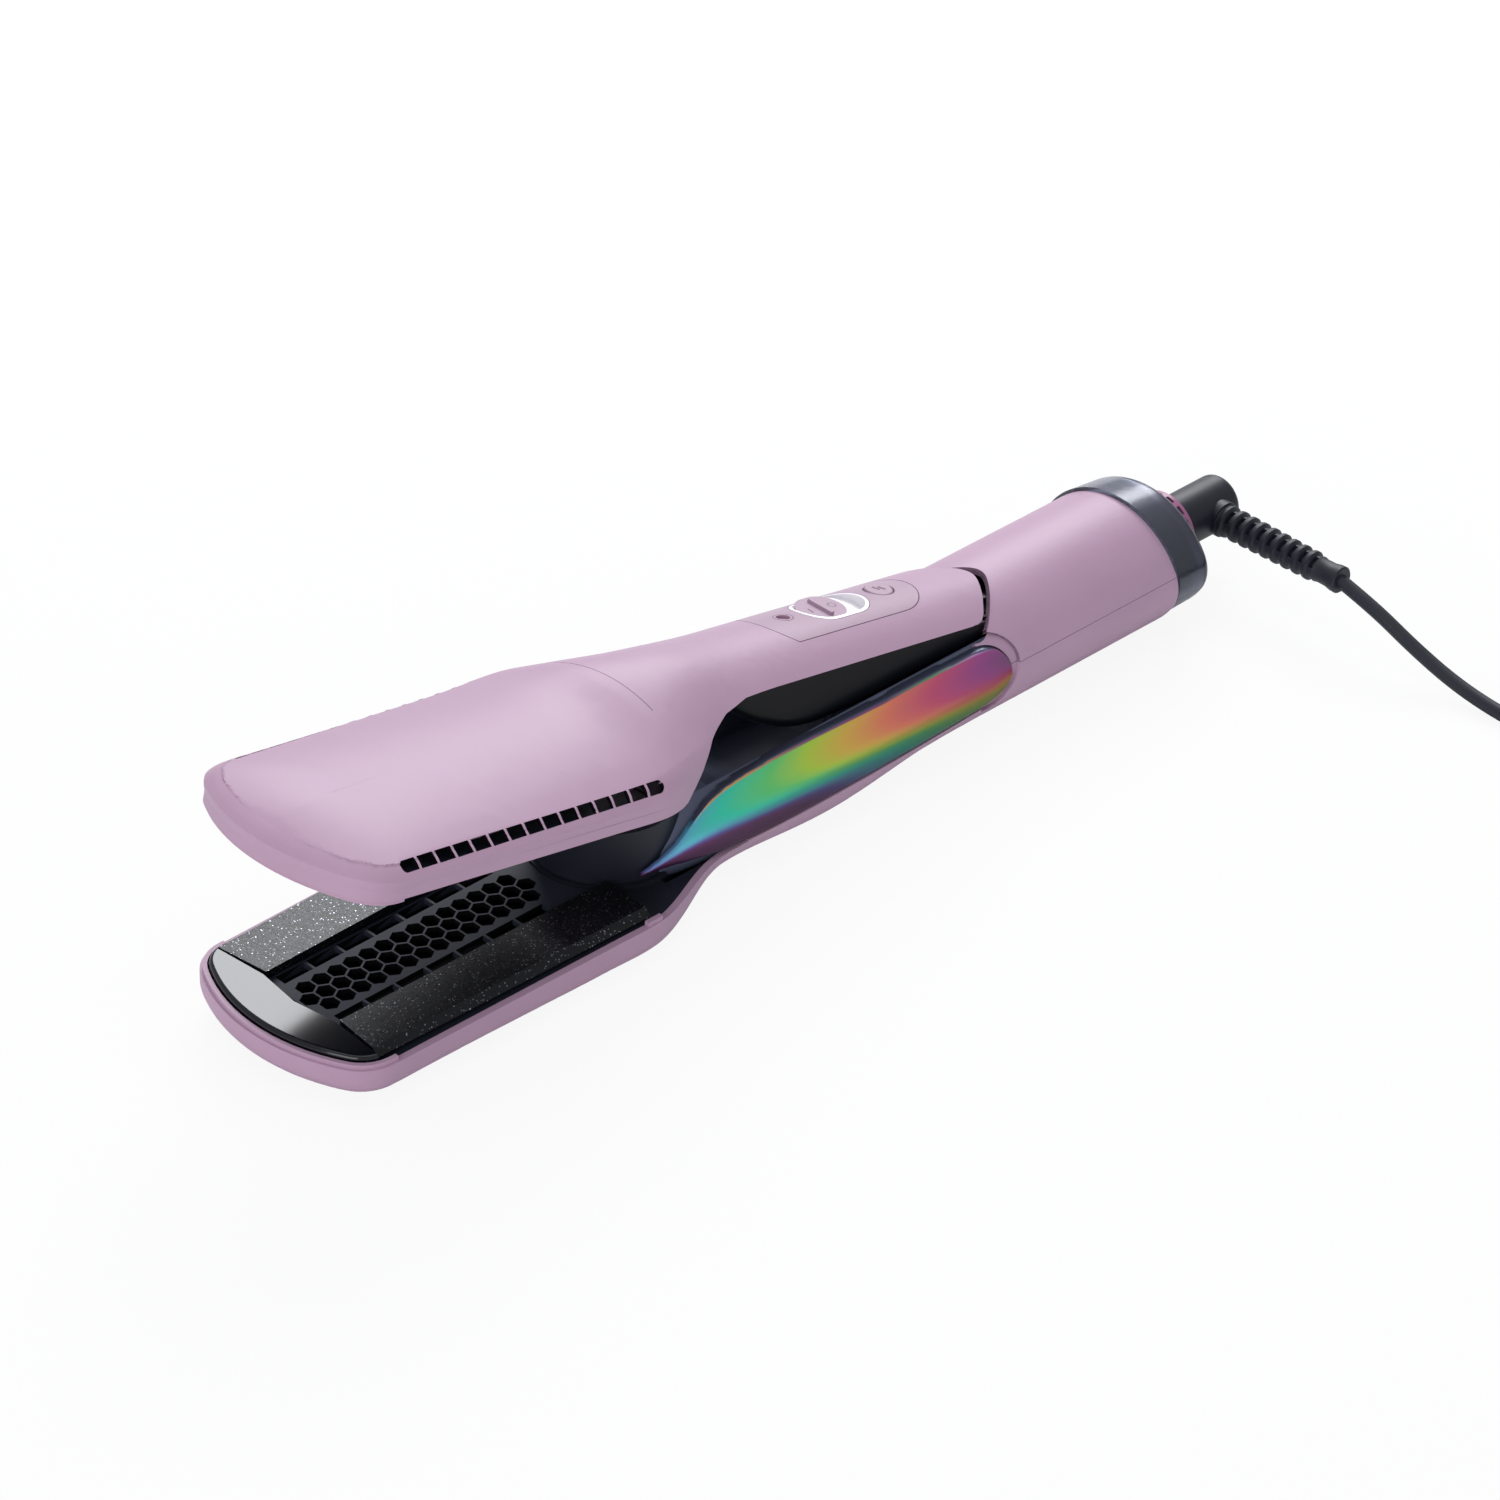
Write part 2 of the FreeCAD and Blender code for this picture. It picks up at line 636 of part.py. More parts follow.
def casings():
    outer = full_skin(casing_columns(0.0), LOW_LAW, HIGH_LAW, 0.0)
    inner = full_skin(casing_columns(WALL), LOW_LAW, HIGH_LAW, WALL)
    shell = outer.cut(inner)
    # Lower casing: under the rim, the grip panel and the parting line
    rim_z = MEET_Z - RIM_DROP
    below = [(-5, 0), (-5, rim_z)] + LOWER_TOP_EDGE + [(160, 13.9), (246, 13.9), (246, PARTING_Z - PARTING_GAP / 2),
             (SEAM_X + 5, PARTING_Z - PARTING_GAP / 2), (SEAM_X + 5, 0)]
    grown = panel_prism(PANEL_GAP)
    scoop = scoop_prism().cut(full_skin(core_columns(SCOOP_DEPTH), CORE_LOW_LAW, CORE_HIGH_LAW, SCOOP_DEPTH))
    under_panel = side_prism([(150, 5), (150, 14.3), (205, 14.5), (246, 18.2), (246, 5)])
    lower = shell.common(side_prism(below).fuse(under_panel)).cut(grown).cut(scoop)
    lower = one_solid(lower)
    lip = head_slab(LIP_OUTER, LIP_END_X, rim_z - 1, MEET_Z - LIP_GAP)
    lip = lip.cut(head_slab(LIP_INNER, LIP_END_X + 1, 0, FAR))
    tab = box(TAB_X0, TAB_X1, -HEAD_REAR_HALF + 0.5, -HEAD_REAR_HALF + LIP_INNER, rim_z - 1, MEET_Z - LIP_GAP)
    lower = joined([lower, lip, both(tab)])
    # Barrel upper casing: above the parting line, behind the arm
    above = [(240, PARTING_Z + PARTING_GAP / 2), (SEAM_X + 5, PARTING_Z + PARTING_GAP / 2), (SEAM_X + 5, 45), (240, 45)]
    barrel = shell.common(side_prism(above)).cut(grown).cut(scoop).cut(ahead_of(BARREL_FRONT, 17.0, 20))
    barrel = barrel.cut(box(200, 243.2, -FAR, FAR, 20, 45))
    barrel = one_solid(barrel)
    # Arm casing
    arm_rim = MEET_Z + RIM_DROP
    arm_side = [(-5, arm_rim)] + [(117, arm_rim)] + ARM_LOW_EDGE[1:] + [(264, 50), (-5, 50)]
    arm = shell.common(side_prism(arm_side)).common(ahead_of(ARM_END, FAR, -5))
    arm_lip = head_slab(LIP_OUTER, LIP_END_X, MEET_Z + LIP_GAP, arm_rim + 1)
    arm_lip = arm_lip.cut(head_slab(LIP_INNER, LIP_END_X + 1, 0, FAR))
    arm = joined([one_solid(arm), arm_lip])
    return outer, lower, barrel, arm


def slot_cutters():
    """The row of windows along the arm's side, square to its rounded edge."""
    cutters = []
    for i in range(SLOT_COUNT):
        share = i / (SLOT_COUNT - 1)
        y, z, tilt, wide = (a + (b - a) * share for a, b in zip(SLOT_FRONT, SLOT_REAR))
        x0 = SLOT_X0 + SLOT_PITCH * i
        long = SLOT_PITCH - SLOT_RIB
        cutter = Part.makeBox(long, wide, 8, Vector(x0, -wide / 2, -4))
        ends = [x0] if i == 0 else [x0 + long] if i == SLOT_COUNT - 1 else []
        for end in ends:
            edges = [e for e in cutter.Edges if abs(e.Vertexes[0].X - end) < 1e-6
                     and abs(e.Vertexes[1].X - end) < 1e-6 and abs(e.Vertexes[0].Z - e.Vertexes[1].Z) > 1]
            cutter = cutter.makeFillet(wide / 2 - 0.1, edges)
        cutter.rotate(Vector(0, 0, 0), Vector(1, 0, 0), 90 - tilt)
        cutter.translate(Vector(0, -y, z))
        cutters += [cutter, mirrored(cutter)]
    # Behind the windows the wall is thinner, so that their ribs are slender
    frames = []
    for x, (y, z, tilt, wide) in ((SLOT_X0 - 1, SLOT_FRONT), (SLOT_X0 + SLOT_PITCH * SLOT_COUNT + 0.2, SLOT_REAR)):
        half = wide / 2 + 0.8
        frame = Part.makePolygon([Vector(x, v, w) for v, w in
                                  ((-half, -SLOT_SKIN), (half, -SLOT_SKIN), (half, -5), (-half, -5), (-half, -SLOT_SKIN))])
        frame.rotate(Vector(0, 0, 0), Vector(1, 0, 0), 90 - tilt)
        frame.translate(Vector(0, -y, z))
        frames.append(frame)
    relief = Part.makeLoft(frames, True, True)
    cutters += [relief, mirrored(relief)]
    return joined(cutters)


def inlay_face(grow, z0, z1):
    """The control inlay in plan: an arched front edge and a round rear end."""
    r = INLAY_HALF + grow
    x0, x1 = INLAY_X0 - grow, INLAY_X1 + grow
    arch = 4.0
    front = [Vector(x0 + arch, CONTROL_Y - r, z0), Vector(x0, CONTROL_Y, z0), Vector(x0 + arch, CONTROL_Y + r, z0)]
    rear = [Vector(x1 - r, CONTROL_Y + r, z0), Vector(x1, CONTROL_Y, z0), Vector(x1 - r, CONTROL_Y - r, z0)]
    edges = [Part.Arc(*front).toShape(), Part.makeLine(front[2], rear[0]), Part.Arc(*rear).toShape(),
             Part.makeLine(rear[2], front[0])]
    return Part.Face(Part.Wire(edges)).extrude(Vector(0, 0, z1 - z0))


def arm_parts(outer, arm):
    sunk = outer.copy()
    sunk.translate(Vector(0, 0, -INLAY_DEEP))
    top = dome_z(BEZEL_X, CONTROL_Y, 0, True)
    button_top = dome_z(BUTTON_X, CONTROL_Y, 0, True)
    window = stadium(BEZEL_X, CONTROL_Y, BEZEL_LONG, BEZEL_WIDE, top - 8, top + 4)
    well = rod((BUTTON_X, CONTROL_Y, 30), (BUTTON_X, CONTROL_Y, 45), BUTTON_R + BUTTON_FIT)
    recess = inlay_face(INLAY_FIT, 30, 45).cut(sunk)
    arm = arm.cut(recess).cut(window).cut(well).cut(slot_cutters())
    add("arm_casing", one_solid(arm), True)
    inlay = inlay_face(0, 30, 45).common(outer).cut(sunk).cut(window).cut(well)
    ring_hole = rod((INDICATOR_X, CONTROL_Y, 30), (INDICATOR_X, CONTROL_Y, 45), INDICATOR_R)
    ring = ring_hole.cut(rod((INDICATOR_X, CONTROL_Y, 30), (INDICATOR_X, CONTROL_Y, 45), INDICATOR_R - 0.7))
    add("control_inlay", one_solid(inlay.cut(ring)), True)
    indicator = ring.common(outer).cut(sunk)
    add("indicator_ring", indicator, True)
    # Bezel cup, slider in it, button and the board under both
    cup = stadium(BEZEL_X, CONTROL_Y, BEZEL_LONG - 0.1, BEZEL_WIDE - 0.1, top - BEZEL_DEEP, top + 3)
    cup = cup.common(outer)
    hollow = stadium(BEZEL_X, CONTROL_Y, BEZEL_LONG - 2 * BEZEL_WALL, BEZEL_WIDE - 2 * BEZEL_WALL,
                     top - BEZEL_DEEP + 0.8, top + 4)
    stem_slot = stadium(BEZEL_X, CONTROL_Y, SLIDER_TRAVEL + 6.4, 3.4, top - BEZEL_DEEP - 1, top)
    add("slider_bezel", cup.cut(hollow).cut(stem_slot), True)
    slider_x = BEZEL_X - (BEZEL_LONG / 2 - BEZEL_WALL - SLIDER_LONG / 2 - 0.25)
    floor = top - BEZEL_DEEP + 0.8
    slider = stadium(slider_x, CONTROL_Y, SLIDER_LONG, SLIDER_WIDE, floor + 0.15, top - 0.55)
    ridge = box(slider_x - 0.6, slider_x + 0.6, CONTROL_Y - 4.4, CONTROL_Y + 4.4, top - 0.8, top + 0.35)
    stem = rod((slider_x, CONTROL_Y, floor - 2.0), (slider_x, CONTROL_Y, floor + 0.3), 1.4)
    add("power_slider", joined([slider, ridge, stem]), True)
    button = rod((BUTTON_X, CONTROL_Y, button_top - 2.6), (BUTTON_X, CONTROL_Y, button_top + 0.35), BUTTON_R)
    button = button.makeFillet(0.5, [button.Edges[i] for i in range(3) if is_top_rim(button.Edges[i])])
    collar = rod((BUTTON_X, CONTROL_Y, button_top - 3.6), (BUTTON_X, CONTROL_Y, button_top - 2.5), 1.2)
    add("mode_button", joined([button, collar]), True)
    board_z = floor - 2.5
    board = box(INLAY_X0 + 6, BUTTON_X + 7, CONTROL_Y - 8.5, CONTROL_Y + 5.5, board_z - 1.2, board_z)
    add("switch_board", board, True)
    switch = box(BUTTON_X - 3, BUTTON_X + 3, CONTROL_Y - 3, CONTROL_Y + 3, board_z, button_top - 4.5)
    contact = box(slider_x - 4, slider_x + 6, CONTROL_Y - 5, CONTROL_Y - 2.2, board_z, board_z + 1.3)
    add("micro_switch", Part.makeCompound([switch, contact]), True)


def is_top_rim(edge):
    return edge.Closed and abs(edge.BoundBox.ZMax - edge.BoundBox.ZMin) < 1e-6 and edge.BoundBox.ZMax > 36


# Heads

def tower_cut(radius):
    return rod((TOWER_X, 0, -5), (TOWER_X, 0, 60), radius)


def head_parts(room):
    tray_low = TRAY_TOP - TRAY_THICK
    tray = head_slab(TRAY_INSET, TRAY_END_X, tray_low, TRAY_TOP)
    opening = plan_prism(plate_corners(CARRIER_MARGIN - 0.35), 0, 30)
    grill_hole = box(GRILL_FRONT_X - 0.1, TOWER_X, -GRILL_HALF - 0.08, GRILL_HALF + 0.08, 0, 30)
    body_gap = box(TOWER_X, TRAY_END_X + 5, -core_half(TRAY_END_X) + 1.6, core_half(TRAY_END_X) - 1.6, 0, 30)
    tray = tray.cut(both(opening)).cut(grill_hole)
    lower_tray = tray.cut(tower_cut(TOWER_R + 0.15)).cut(body_gap)
    add("lower_tray", one_solid(lower_tray))
    upper_tray = turned_up(tray, STACK_RECESS).cut(tower_cut(FOOT_RING_R)).cut(box(117, 200, -FAR, FAR, 0, 60))
    add("upper_tray", one_solid(upper_tray.common(room)), True)
    # Grill: honeycomb and side channels, with a skirt into the tray
    for up in (False, True):
        add("upper_grill" if up else "lower_grill", grill(up), up)
        add("upper_nose_cap" if up else "lower_nose_cap", nose_cap(up), up)
    for up in (False, True):
        arm = "upper" if up else "lower"
        rail_set(arm, up)
        for side in ("near", "far"):
            plate_set(arm, side, up)


def hexagon(x, y, z0, z1):
    reach = CELL_FLATS / 2 / math.cos(math.pi / 6)
    points = [(x + reach * math.sin(math.pi / 3 * k), y + reach * math.cos(math.pi / 3 * k)) for k in range(6)]
    return plan_prism(points, z0, z1)


def grill(up):
    low = GRILL_TOP - GRILL_THICK
    deep = TRAY_TOP - TRAY_THICK
    if up:
        deep -= STACK_RECESS
    plate = box(GRILL_FRONT_X, TOWER_X, -GRILL_HALF, GRILL_HALF, low, GRILL_TOP)
    walls = box(GRILL_FRONT_X, TOWER_X, -GRILL_HALF, -GRILL_HALF + GRILL_SKIRT, deep, low + 0.5)
    front = box(GRILL_FRONT_X, GRILL_FRONT_X + GRILL_SKIRT, -GRILL_HALF, GRILL_HALF, deep, low + 0.5)
    body = joined([plate, walls, mirrored(walls), front])
    pitch = CELL_FLATS + CELL_WALL
    row = pitch * math.cos(math.pi / 6)
    holes = [hexagon(CELL_FIRST_X + pitch * i, 0, 0, 30) for i in range(CELL_COUNT)]
    for i in range(CELL_COUNT - 1):
        holes += [hexagon(CELL_FIRST_X + pitch * (i + 0.5), s * row, 0, 30) for s in (-1, 1)]
    long = CHANNEL_PITCH - CHANNEL_RIB
    for i in range(CHANNEL_COUNT):
        x = CHANNEL_X0 + CHANNEL_PITCH * i
        holes += [box(x, x + long, s * CHANNEL_IN if s > 0 else -CHANNEL_OUT,
                      CHANNEL_OUT if s > 0 else -CHANNEL_IN, 0, 30) for s in (-1, 1)]
    body = body.cut(Part.makeCompound(holes)).cut(tower_cut(FOOT_RING_R + 0.2))
    return one_solid(turned_up(body, 0) if up else body)


def nose_cap(up):
    """The glossy crescent in front of the plates."""
    top = PLATE_TOP - 0.2
    low = TRAY_TOP
    slab = head_slab(TRAY_INSET + 0.1, 30, low, top)
    rear = [(-5, -FAR), (-5, FAR), (PLATE_FRONT_OUT[0] - 0.4, FAR), (PLATE_FRONT_OUT[0] - 0.4, 29.7),
            (GRILL_FRONT_X - 0.3, 13.7), (GRILL_FRONT_X - 2.2, 0), (GRILL_FRONT_X - 0.3, -13.7),
            (PLATE_FRONT_OUT[0] - 0.4, -29.7), (PLATE_FRONT_OUT[0] - 0.4, -FAR)]
    cap = slab.common(plan_prism(rear, 0, 30))
    edges = [e for e in cap.Edges if e.BoundBox.ZMin > top - 0.01 and e.BoundBox.XMin < 12]
    cap = cap.makeFillet(1.2, edges)
    return turned_up(cap, STACK_RECESS) if up else cap


def plate_set(arm, side, up):
    """One heated plate with its heater and the carrier that floats on springs."""
    low = PLATE_TOP - PLATE_THICK
    plate = plan_prism(plate_corners(0), low, PLATE_TOP)
    out = PLATE_FRONT_OUT
    rear = PLATE_REAR_OUT
    wedge = [(out[1], PLATE_TOP + 1), (out[1] - PLATE_BEVEL - 1, PLATE_TOP + 1), (out[1] + 1, PLATE_TOP - PLATE_BEVEL - 1)]
    loops = []
    for x, w in (out, rear):
        loops.append(Part.makePolygon([Vector(x + (2 if x > 50 else -2), -(y - out[1] + w), z)
                                       for y, z in wedge + wedge[:1]]))
    if side == "near":
        plate = plate.cut(Part.makeLoft(loops, True, True))
    carrier = plan_prism(plate_corners(CARRIER_MARGIN), low - CARRIER_THICK, low)
    mid0 = (PLATE_FRONT_IN[1] + PLATE_FRONT_OUT[1]) / 2
    heater = box(24, 101, -mid0 - HEATER_HALF, -mid0 + HEATER_HALF, low - HEATER_THICK, low)
    carrier = carrier.cut(heater)
    for name, shape in (("plate", plate), ("heater", heater), ("carrier", carrier)):
        shape = mirrored(shape) if side == "far" else shape
        shape = turned_up(shape, STACK_RECESS) if up else shape
        add(arm + "_" + side + "_" + name, shape, up)


def rail_set(arm, up):
    """Silicone cushions under the plate carriers and the rails that hold them."""
    top = PLATE_TOP - PLATE_THICK - CARRIER_THICK - CUSHION_GAP
    pads = []
    for x in (RAIL_X0 + 6, (RAIL_X0 + RAIL_X1) / 2, RAIL_X1 - 6):
        pad = box(x - 5, x + 5, -RAIL_OUT + 2, -RAIL_IN - 1, top - CUSHION_THICK, top)
        pads += [pad, mirrored(pad)]
    under = top - CUSHION_THICK
    rails = []
    for side in (-1, 1):
        y = side * (RAIL_IN + RAIL_OUT) / 2
        half = (RAIL_OUT - RAIL_IN) / 2
        pieces = [box(RAIL_X0, RAIL_X1, y - half, y + half, under - RAIL_THICK, under)]
        for x in (RAIL_X0 + 6, RAIL_X1 - 6):
            if up:
                # The arm's legs reach the dome above, here seen upside down
                reach = 2 * MEET_Z + STACK_RECESS - dome_z(x, abs(y) + LEG_R, WALL, True) + SEAT
            else:
                reach = dome_z(x, abs(y) + LEG_R, WALL, False) + SEAT
            pieces.append(rod((x, y, reach), (x, y, under - 0.5), LEG_R))
        rails.append(joined(pieces))
    pad_group, rail_group = Part.makeCompound(pads), Part.makeCompound(rails)
    if up:
        pad_group, rail_group = turned_up(pad_group, STACK_RECESS), turned_up(rail_group, STACK_RECESS)
    add(arm + "_plate_cushions", pad_group, up)
    add(arm + "_spring_rails", rail_group, up)


# Grip panels, slate body, duct

TROUGH = [(143, 31), (143, 29.0), (152, 24), (163, 16.5), (172, 13.0), (195, 12.9), (210, 14.6), (240, 20.5),
          (257, 22.5), (CORE_END_X + 2, 22.5), (CORE_END_X + 2, 31)]
TROUGH_HALF = 15.5
DUCT_TOP = 11.2
BODY_FOOT = 2.4
HEATER_X0 = 178.0
HEATER_X1 = 216.0
HEATER_SIDE = 11.0
MICA = 0.85
FUSE_X = 168.0
FUSE_R = 2.0
SKIRT_IN = 17.2
SKIRT_OUT = 20.6
SCREW_XS = (162.0, 198.0)
SCREW_Y = 18.6
SCREW_R = 1.2
SCREW_HEAD_R = 2.0
BOSS_R = 3.6
BOSS_TOP = 9.0
SCREW_SEAT = 8.1


def handle_parts(room):
    panel_side = full_skin(core_columns(0), CORE_LOW_LAW, CORE_HIGH_LAW, 0).common(panel_prism(0))
    panel_side = panel_side.cut(full_skin(core_columns(PANEL_THICK), CORE_LOW_LAW, CORE_HIGH_LAW, PANEL_THICK))
    near = [s for s in panel_side.Solids if s.CenterOfMass.y < 0]
    panel = max(near, key=lambda s: s.Volume)
    add("near_grip_panel", panel)
    add("far_grip_panel", mirrored(panel))
    core = full_skin(core_columns(BODY_INSET), CORE_LOW_LAW, CORE_HIGH_LAW, BODY_INSET)
    body = core.common(box(CORE_FRONT_X, CORE_END_X, -FAR, FAR, BODY_FOOT, TOWER_TOP))
    body = body.cut(tower_cut(TOWER_R + 0.1)).cut(side_prism(TROUGH, TROUGH_HALF))
    duct = box(CORE_FRONT_X, CORE_END_X + 1, -TROUGH_HALF, TROUGH_HALF, 0, DUCT_TOP)
    body = body.cut(duct)
    pocket = box(146, CORE_END_X - 6, -SKIRT_OUT, -SKIRT_IN, 0, TOWER_TOP - 3)
    body = body.cut(both(pocket))
    screws, bosses, pilots = [], [], []
    for x in SCREW_XS:
        for s in (-1, 1):
            y = s * SCREW_Y
            post = rod((x, y, BOSS_TOP + 0.1), (x, y, TOWER_TOP - 2), BOSS_R - 0.6)
            bosses.append(post.common(core))
            pilots.append(rod((x, y, 0), (x, y, 20), SCREW_R + 0.05))
            pilots.append(rod((x, y, 0), (x, y, BOSS_TOP + 0.05), BOSS_R + 0.1))
            head = rod((x, y, SCREW_SEAT - 1.4), (x, y, SCREW_SEAT), SCREW_HEAD_R)
            screws.append(joined([head, rod((x, y, SCREW_SEAT - 0.1), (x, y, 18), SCREW_R)]))
    body = joined([one_solid(body)] + bosses).cut(joined(pilots))
    # Hinge lugs at the rear end, joined to the rear wall
    lug_in = KNUCKLE_HALF + LUG_GAP
    for s in (-1, 1):
        y0, y1 = sorted((s * lug_in, s * (lug_in + LUG_THICK)))
        eye = rod((HINGE_X, y0, HINGE_Z), (HINGE_X, y1, HINGE_Z), KNUCKLE_R)
        foot = box(CORE_END_X - 3, HINGE_X + KNUCKLE_R, y0, y1, 13, HINGE_Z)
        body = joined([body, eye, foot])
    body = body.cut(rod((HINGE_X, -20, HINGE_Z), (HINGE_X, 20, HINGE_Z), PIN_R + PIN_FIT))
    add("inner_body", one_solid(body))
    add("casing_screws", Part.makeCompound(screws))
    pin_half = lug_in + LUG_THICK + 0.4
    add("hinge_pin", rod((HINGE_X, -pin_half, HINGE_Z), (HINGE_X, pin_half, HINGE_Z), PIN_R))
    coil = tube((HINGE_X, -SPRING_HALF, HINGE_Z), (HINGE_X, SPRING_HALF, HINGE_Z), KNUCKLE_R, PIN_R + 0.2)
    leg = box(HINGE_X - 8, HINGE_X, -SPRING_HALF, -SPRING_HALF + 1, HINGE_Z - KNUCKLE_R, HINGE_Z - KNUCKLE_R + 1)
    add("arm_spring", joined([coil, leg]))
    # Duct tower in front, with its foot ring on the tray and a gasket on top
    tower = tube((TOWER_X, 0, TOWER_FOOT), (TOWER_X, 0, TOWER_TOP), TOWER_R, TOWER_R - TOWER_WALL)
    lid = tube((TOWER_X, 0, TOWER_TOP - TOWER_WALL), (TOWER_X, 0, TOWER_TOP), TOWER_R, TOWER_MOUTH_R)
    ring = tube((TOWER_X, 0, TRAY_TOP), (TOWER_X, 0, TRAY_TOP + FOOT_RING_RISE), FOOT_RING_R, TOWER_R - 0.5)
    ring = ring.cut(box(TOWER_X + 2, TOWER_X + 40, -FAR, FAR, 0, 40))
    ring = ring.cut(both(plan_prism(plate_corners(-0.35), 0, 40)))
    tower = joined([tower, lid, ring]).common(room)
    tower = tower.cut(box(TOWER_X - 30, TOWER_X, -12, 12, TOWER_FOOT + 1, TRAY_TOP - TRAY_THICK - 0.6))
    tower = tower.cut(box(TOWER_X, TOWER_X + 30, -12, 12, TOWER_FOOT + 0.8, DUCT_TOP))
    add("duct_tower", tower)
    add("tower_gasket", tube((TOWER_X, 0, TOWER_TOP), (TOWER_X, 0, TOWER_TOP + GASKET_RISE), TOWER_R - 2.4,
                             TOWER_MOUTH_R + 1))


def boss_on(lower, outer):
    """Screw bosses and counterbores of the lower casing."""
    posts, bores = [], []
    for x in SCREW_XS:
        for s in (-1, 1):
            y = s * SCREW_Y
            posts.append(rod((x, y, -2), (x, y, BOSS_TOP), BOSS_R).common(outer))
            bores.append(rod((x, y, -2), (x, y, SCREW_SEAT), SCREW_HEAD_R + 0.2))
            bores.append(rod((x, y, -2), (x, y, 20), SCREW_R + 0.1))
    return joined([lower] + posts).cut(joined(bores))


# The arm's inner shell, from the neck to the hinge knuckle

SHELL_LOW = [(152.1, 25.6), (158.5, 21.7), (167.5, 17.6), (179.7, 14.2), (195, 14.7), (210.4, 16.5),
             (225.3, 19.5), (240.6, 22.1), (252, 23.8)]
SHELL_HALF = 14.8
SHELL_WALL = 1.5
SHELL_TOP = 31.0


def arm_shell():
    def solid(shrink, top, half, front, rear):
        lows = [Vector(x, -half, z + shrink) for x, z in SHELL_LOW]
        lows[0] = Vector(front, -half, lows[0].z)
        lows[-1] = Vector(rear, -half, lows[-1].z)
        keel = Part.BSplineCurve()
        keel.interpolate(lows)
        corners = [lows[-1], Vector(rear, -half, top), Vector(front, -half, top), lows[0]]
        edges = [keel.toShape()] + [Part.makeLine(a, b) for a, b in zip(corners, corners[1:])]
        return Part.Face(Part.Wire(edges)).extrude(Vector(0, 2 * half, 0))
    outer = solid(0, SHELL_TOP, SHELL_HALF, SHELL_LOW[0][0], SHELL_LOW[-1][0])
    keel_edges = [e for e in outer.Edges if abs(abs(e.BoundBox.YMin) - SHELL_HALF) < 1e-6
                  and abs(e.BoundBox.YMax - e.BoundBox.YMin) < 1e-6 and e.BoundBox.XLength > 50
                  and e.BoundBox.ZLength > 2]
    outer = outer.makeFillet(4.0, keel_edges)
    hollow = solid(SHELL_WALL, SHELL_TOP + 5, SHELL_HALF - SHELL_WALL, SHELL_LOW[0][0] + SHELL_WALL,
                   SHELL_LOW[-1][0] - SHELL_WALL)
    shell = outer.cut(hollow)
    beam = side_prism([(246, 25.6), (246, 31.0), (HINGE_X - 2, HINGE_Z + KNUCKLE_R), (HINGE_X, HINGE_Z + KNUCKLE_R),
                       (HINGE_X, HINGE_Z - KNUCKLE_R), (HINGE_X - 3, HINGE_Z - KNUCKLE_R)], KNUCKLE_HALF)
    eye = rod((HINGE_X, -KNUCKLE_HALF, HINGE_Z), (HINGE_X, KNUCKLE_HALF, HINGE_Z), KNUCKLE_R)
    shell = joined([shell, beam, eye]).cut(both(box(248.6, 262, -SHELL_HALF - 1, -12.6, 24, 40)))
    gap = SPRING_HALF + 0.4
    shell = shell.cut(box(HINGE_X - 10, HINGE_X + 10, -gap, gap, 15, 40))
    shell = shell.cut(rod((HINGE_X, -FAR, HINGE_Z), (HINGE_X, FAR, HINGE_Z), PIN_R + PIN_FIT))
    add("arm_inner_shell", one_solid(shell), True)


# Barrel contents

